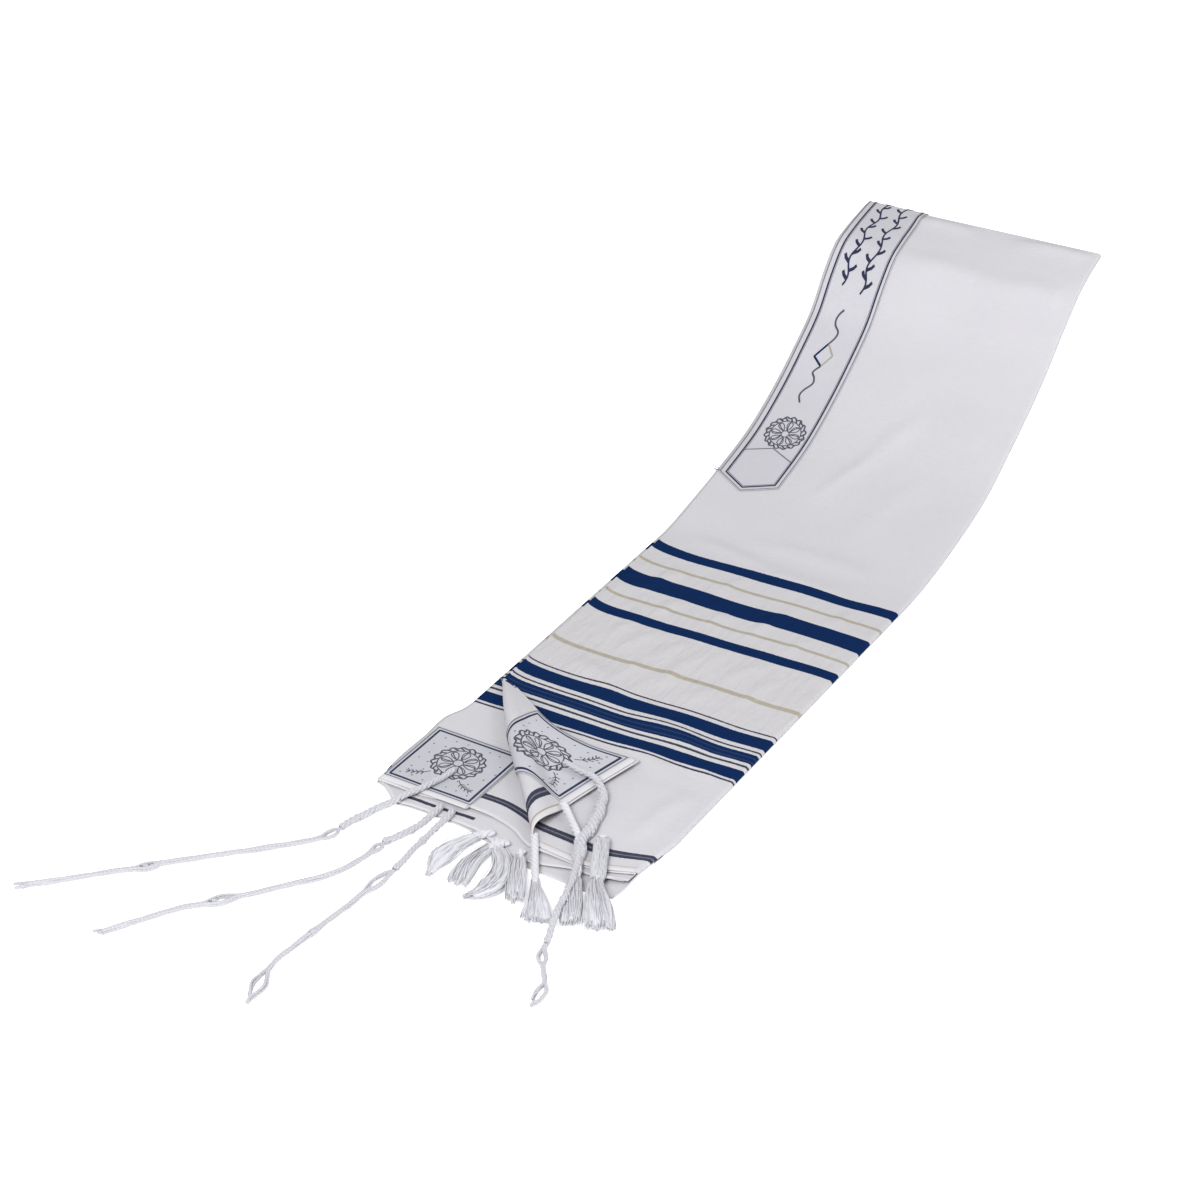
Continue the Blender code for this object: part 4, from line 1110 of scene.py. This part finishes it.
NECK_STRANDS, NECK_STRAND_RADIUS, LEG_RADIUS, LEG_OFFSET = 46, 0.00042, 0.0033, 0.0029
NECK_PITCH, NECK_REACH, NECK_PLY_RADIUS = 0.018, 0.0015, 0.002
BRUSH_KNOT, WIDEST_LOCK, STRAND_RADIUS = 0.0034, 0.0055, 0.00046
TIP_SHARE = 0.14  # of a lock's width, left at its tip
FLOOR_BED, CLOTH_BED = 0.0003, 0.0078  # the lowest place of a tassel on the floor and on the cloth


def add_looped_neck(bundle, path):
    """A soft doubled neck: two legs that touch, closed over the top."""
    _, side, _ = axes(path)
    profile = np.interp(np.linspace(0, 1, len(path)), [0, 0.08, 0.85, 1], [0.55, 1.0, 0.95, 0.75])
    radius = LEG_RADIUS * profile
    for offset, phase in ((-LEG_OFFSET, 0.0), (LEG_OFFSET, 2.0)):
        leg = path + side * offset
        bundle.add(fluted(leg, radius, 0.95 * radius, 5, phase))
        for _ in range(NECK_STRANDS):
            angle = RNG.uniform(0, 2 * math.pi) + np.linspace(0, 3.5, len(path))
            loose = RNG.uniform(0.95, 1.18)
            strand = leg + side * (loose * radius * np.cos(angle))[:, None]
            strand[:, 2] += loose * radius * np.sin(angle)
            bundle.add(tube(strand[1::2], NECK_STRAND_RADIUS, 3))
    shoulder = side[1] * 0.004
    over, _ = flow([path[1] - shoulder, path[0] + (0, 0, 0.0004), path[1] + shoulder], 12)
    rounded = 0.0026 * np.sin(np.linspace(0.35, math.pi - 0.35, len(over))) ** 0.5
    bundle.add(fluted(over, rounded, rounded, 5, 1.0))


def make_tassel(row, fluff):
    """A wound or looped neck, a knot, and a brush of fluted locks with loose strands over them."""
    name, neck, brush, widths, locks, parting, thinning = row
    bundle = Bundle()
    neck_path, neck_length = flow(np.array(neck) + SHIFT, 30)
    beyond = np.array(brush[-1]) + 0.4 * np.subtract(brush[-1], brush[-2]) * (1, 1, 0)
    brush_path, _ = flow(np.vstack([brush, beyond]) + SHIFT, 28)
    if name == "end_tassel_7":
        add_looped_neck(bundle, neck_path)
    else:
        swollen = 1 + 0.1 * np.sin(np.linspace(0, 11, len(neck_path)))
        for ply in range(3):
            turns = neck_length / NECK_PITCH
            wound = helix(neck_path, NECK_REACH * swollen, turns, ply * 2.1, 16)
            bundle.add(tube(wound, NECK_PLY_RADIUS, 8))
    along, side, _ = axes(brush_path)
    add_knot(bundle, brush_path[0], along[0], BRUSH_KNOT)
    s = np.linspace(0, 1, len(brush_path))
    width = drawn_out(widths, len(s))
    bed = CLOTH_BED if name == "flap_tassel" else FLOOR_BED
    depth = np.clip(0.33 * width, 0.0012, brush_path[:, 2] - bed - 0.0004)
    thin = np.clip((1 - s) / (1 - thinning), 0, 1) ** 0.6 * (1 - TIP_SHARE) + TIP_SHARE
    for k in range(locks):
        across = (2 * k + 1) / locks - 1
        gather = 0.78 * across * (1 + 0.12 * parting * s)
        lean = RNG.uniform(-0.35, 0.35)
        share = (1.5 - 0.9 * parting * s) / locks
        half = np.minimum(0.5 * width * share * thin, WIDEST_LOCK)
        high = depth * thin * RNG.uniform(0.75, 1.0)
        sway = 0.0007 * np.sin(9 * s + 2 * k) * s
        lock_path = brush_path + side * (0.5 * width * gather + sway)[:, None]
        lock_path[:, 2] += 0.3 * depth * lean * s
        lock_path[:, 2] = np.maximum(lock_path[:, 2], bed + high + 0.0002)
        reach = RNG.uniform(0.84 - 0.12 * parting, 0.93)
        stop = max(8, int(reach * len(s)))
        bundle.add(fluted(lock_path[:stop], half[:stop], high[:stop], 6, RNG.uniform(0, 6)))
        for _ in range(int(26 + 5200 * float(np.mean(half)))):
            angle = RNG.uniform(0, 2 * math.pi)
            loose = RNG.uniform(0.88, 1.12) if RNG.uniform() < 0.85 else RNG.uniform(1.15, 1.6)
            turn = angle + RNG.uniform(0.8, 2.2) * s
            t = s[::2] * min(1.0, reach * RNG.uniform(0.94, 1.17))
            stray = RNG.uniform(-1, 1) * 0.0026 * t ** 4
            place, flat = resample(t, s, lock_path), resample(t, s, side)
            turned, thick, tall = resample(t, s, np.stack([turn, half, high], -1)).T
            out = loose * np.maximum(thick, 0.0012 * parting * t) * np.cos(turned)
            strand = place + flat * (out + stray)[:, None]
            strand[:, 2] += loose * tall * np.sin(turned)
            strand[:, 2] = np.maximum(strand[:, 2], bed + 0.0006)
            bundle.add(tube(strand, STRAND_RADIUS * np.interp(t, [0, 0.8, 1], [1.0, 0.9, 0.35]), 3))
    return add_yarn(bundle, name, fluff)


# -------- corner fringes

LOOSE_HEIGHT, STRAND_LOWEST = 0.0036, 0.0013
# Each fringe's cord route, the route of its loose strands on the floor, where along the cord its
# knots sit, how thick it winds, and its partings: place along the loose part, width and reach.
CORNER_FRINGES = (
    ("corner_fringe_1",
     ((0.041, 0.033, 0.0098), (0.037, 0.012, 0.0098), (0.031, -0.004, 0.0096),
      (0.022, -0.022, 0.0078), (0.013, -0.04, 0.005), (0.006, -0.058, 0.0046),
      (0.001, -0.078, 0.0046)),
     ((-0.006, -0.098), (-0.04, -0.135), (-0.093, -0.187), (-0.106, -0.203), (-0.137, -0.234),
      (-0.182, -0.279)),
     (0.3, 0.52, 0.72, 0.86, 0.985), (0.8, 0.9, 1.0, 1.1, 1.0),
     ((0.04, 0.011, 0.03), (0.6, 0.0095, 0.03), (0.98, 0.008, 0.03))),
    ("corner_fringe_2",
     ((0.058, -0.0145, 0.0072), (0.057, -0.029, 0.0068), (0.055, -0.046, 0.0048),
      (0.049, -0.062, 0.0046), (0.043, -0.077, 0.0046)),
     ((0.039, -0.105), (0.025, -0.141), (-0.033, -0.216), (-0.051, -0.237), (-0.088, -0.297)),
     (0.35, 0.62, 0.8, 0.985), (1.0, 1.0, 1.0, 1.0),
     ((0.03, 0.009, 0.03), (0.585, 0.013, 0.04), (0.98, 0.006, 0.03))),
    ("corner_fringe_3",
     ((0.07, -0.0155, 0.0072), (0.07, -0.03, 0.0068), (0.069, -0.046, 0.0048),
      (0.069, -0.072, 0.0046), (0.071, -0.104, 0.0046)),
     ((0.067, -0.129), (0.063, -0.178), (0.058, -0.224), (0.057, -0.257), (0.067, -0.304)),
     (0.3, 0.5, 0.985), (1.0, 0.85, 0.8, 0.9),
     ((0.1, 0.012, 0.06), (0.5, 0.0065, 0.03), (0.88, 0.015, 0.06))),
    ("corner_fringe_4",
     ((0.1215, 0.077, 0.0193), (0.1385, 0.0745, 0.0181), (0.157, 0.071, 0.017),
      (0.169, 0.06, 0.012), (0.177, 0.04, 0.0113), (0.182, 0.022, 0.0113),
      (0.187, -0.006, 0.0113), (0.2005, -0.036, 0.011), (0.21, -0.063, 0.0118),
      (0.2165, -0.09, 0.0116), (0.22, -0.103, 0.0104), (0.2235, -0.114, 0.007),
      (0.2265, -0.1255, 0.0046)),
     ((0.232, -0.141), (0.252, -0.171), (0.256, -0.197)),
     (0.2, 0.36, 0.6, 0.8, 0.985), (0.75, 1.0, 1.9, 2.1, 1.2, 0.95, 1.0, 0.9),
     ((0.22, 0.01, 0.09), (0.8, 0.0115, 0.12))),
)
CORD_SPACING, LOOSE_SPACING = 0.002, 0.003
PLIES, PLY_PITCH, PLY_REACH, PLY_RADIUS = 4, 0.021, 0.0015, 0.0016
CORD_KNOT, LOOSE_KNOT = 0.0024, 0.0021
LOOSE_STRANDS, LOOSE_RADIUS, CLOSE_SPREAD = 8, 0.00122, 0.0034


def make_corner_fringe(row, yarn):
    """A knotted cord whose strands part at its end and lie on the floor."""
    name, cord, loose, knots, girth, partings = row
    route = smooth_route(np.array(cord) + SHIFT, CORD_SPACING)
    length = len(route) * CORD_SPACING
    bundle = Bundle()
    for ply in range(PLIES):
        wander = 1 + 0.25 * np.sin(np.linspace(0, 9, len(route)) + 1.7 * ply)
        radii = PLY_REACH * drawn_out(girth, len(route)) * wander
        path = helix(route, radii, length / PLY_PITCH, ply * QUARTER, 14)
        bundle.add(tube(path, drawn_out(PLY_RADIUS * np.sqrt(girth), len(path)), 8))
    along, _, _ = axes(route)
    for k, part in enumerate(knots):
        i = min(len(route) - 2, max(1, int(part * (len(route) - 1))))
        add_knot(bundle, route[i], along[i], CORD_KNOT + 0.0004 * (k % 2), 3.2, 0.7 * k)
    lying = np.array([(x, y, LOOSE_HEIGHT) for x, y in loose]) + SHIFT
    way = smooth_route(np.vstack([route[-1], lying]), LOOSE_SPACING)
    along, side, _ = axes(way)
    t = np.linspace(0, 1, len(way))
    spread = CLOSE_SPREAD + sum((size - CLOSE_SPREAD) * np.exp(-((t - at) / reach) ** 2)
                                for at, size, reach in partings)
    spread = spread * np.clip(t / 0.02, 0.25, 1)
    opened = ramp(spread - 0.005, 0.003)
    for k in range(LOOSE_STRANDS):
        drift = sum(RNG.uniform(0.4, 1) * np.sin(math.pi * (f * t + RNG.uniform(0, 2)))
                    for f in (3.0, 6.0, 11.0))
        place = 2 * k / (LOOSE_STRANDS - 1) - 1
        parted = np.sign(place) * (0.75 + 0.25 * abs(place))
        out = spread * 0.5 * (0.75 * (place + opened * (parted - place))
                              + 0.25 * (1 - 0.6 * opened) * np.tanh(drift))
        out = out * (1 - 0.55 * np.cos(math.pi * (5 * t + 0.3 * k)) ** 2 * (spread < 0.005))
        high = 0.001 * np.sin(math.pi * (6 * t + k * 0.61)) + 0.0003 * (k % 3)
        path = way + side * out[:, None]
        path[:, 2] = np.maximum(way[:, 2] - 0.0006 + high * ramp(t, 0.05), STRAND_LOWEST)
        stop = len(path) - int(RNG.integers(0, 6))
        bundle.add(tube(path[:stop], LOOSE_RADIUS, 6))
    for at, _, reach in partings[1:-1]:
        i = min(len(way) - 2, int((at + 0.5 * reach) * (len(way) - 1)))
        add_knot(bundle, way[i], along[i], LOOSE_KNOT, 3.0, 1.0)
    return add_yarn(bundle, name, yarn)


def make_loose_ends(name, place, heading, count, length, material):
    """Short ends of thread that stand out from one place on the top cloth."""
    bundle = Bundle()
    start = cloth_offset(*place, 0.0005).reshape(3)
    t = np.linspace(0, 1, 8)[:, None]
    for _ in range(count):
        turn = RNG.uniform(-0.9, 0.9)
        c, s = math.cos(turn), math.sin(turn)
        way = np.array([heading[0] * c - heading[1] * s, heading[0] * s + heading[1] * c,
                        RNG.uniform(0.0, 0.5)])
        reach = length * RNG.uniform(0.5, 1)
        curl = 0.22 * reach * np.sin(4 * t + RNG.uniform(0, 6)) * np.array([-way[1], way[0], 0.2])
        bundle.add(tube(start + way * reach * t + curl - curl[:1], 0.0003, 5))
    piece = bundle.piece(name, material)
    return piece


# -------- the whole shawl

add_camera()
add_floor_and_light()
striped = cloth_material("striped_cloth", STRIPES + END_BAND)
narrow_banded = cloth_material("narrow_banded_cloth", STRIPES + NARROW_END_BAND, (0.053, 0.036))
banded = cloth_material("banded_cloth", END_BAND)
satin = satin_material("patch_satin", (0.475, 0.48, 0.52))
band_satin = satin_material("neckband_satin", (0.505, 0.5, 0.535))
threads = {name: thread_material(f"{name}_thread", colour) for name, colour in (
    ("dark", FRAME_BLUE), ("grey", THREAD_GREY), ("motif", MOTIF_GREY), ("navy", NAVY),
    ("hem_shadow", HEM_SHADOW_BEIGE), ("gold", GOLD))}
hem_cloth = yarn_material("hem_cloth", (0.57, 0.56, 0.58), 0.93)
yarn = yarn_material("white_yarn", (0.5, 0.5, 0.538), 0.92, 0.0035)
fluff = yarn_material("tassel_yarn", (0.6, 0.6, 0.64), 0.9)

top = make_top_cloth(striped, banded)
lower = [make_lower_layer(row, right, banded)
         for row, right in zip(LAYERS, (striped, narrow_banded, striped))]
hems, sewn = make_hems(hem_cloth, striped, threads["hem_shadow"])
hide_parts("folded_layers")

lower_patch, lower_parts = make_patch("lower_patch_satin", lower_patch_surface,
                                      hidden_past(lower_patch_place, 1.2), satin, hem_cloth,
                                      threads)
upper_patch, upper_parts = make_patch("upper_patch_satin", upper_patch_surface,
                                      hidden_past(upper_patch_place, 2.0), satin, hem_cloth,
                                      threads)
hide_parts("lower_corner_patch")
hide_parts("upper_corner_patch")
band_parts = make_neckband(band_satin, threads)
tassels = [make_tassel(row, fluff) for row in TASSELS]
fringes = [make_corner_fringe(row, yarn) for row in CORNER_FRINGES]
loose_ends = [make_loose_ends("neckband_loose_ends", (0.0015, 0.5665), (-0.8, 0.6), 4, 0.0085,
                              threads["grey"]),
              make_loose_ends("curl_dark_tuft", (0.001, 0.171), (-0.9, 0.1), 16, 0.0034,
                              threads["dark"])]
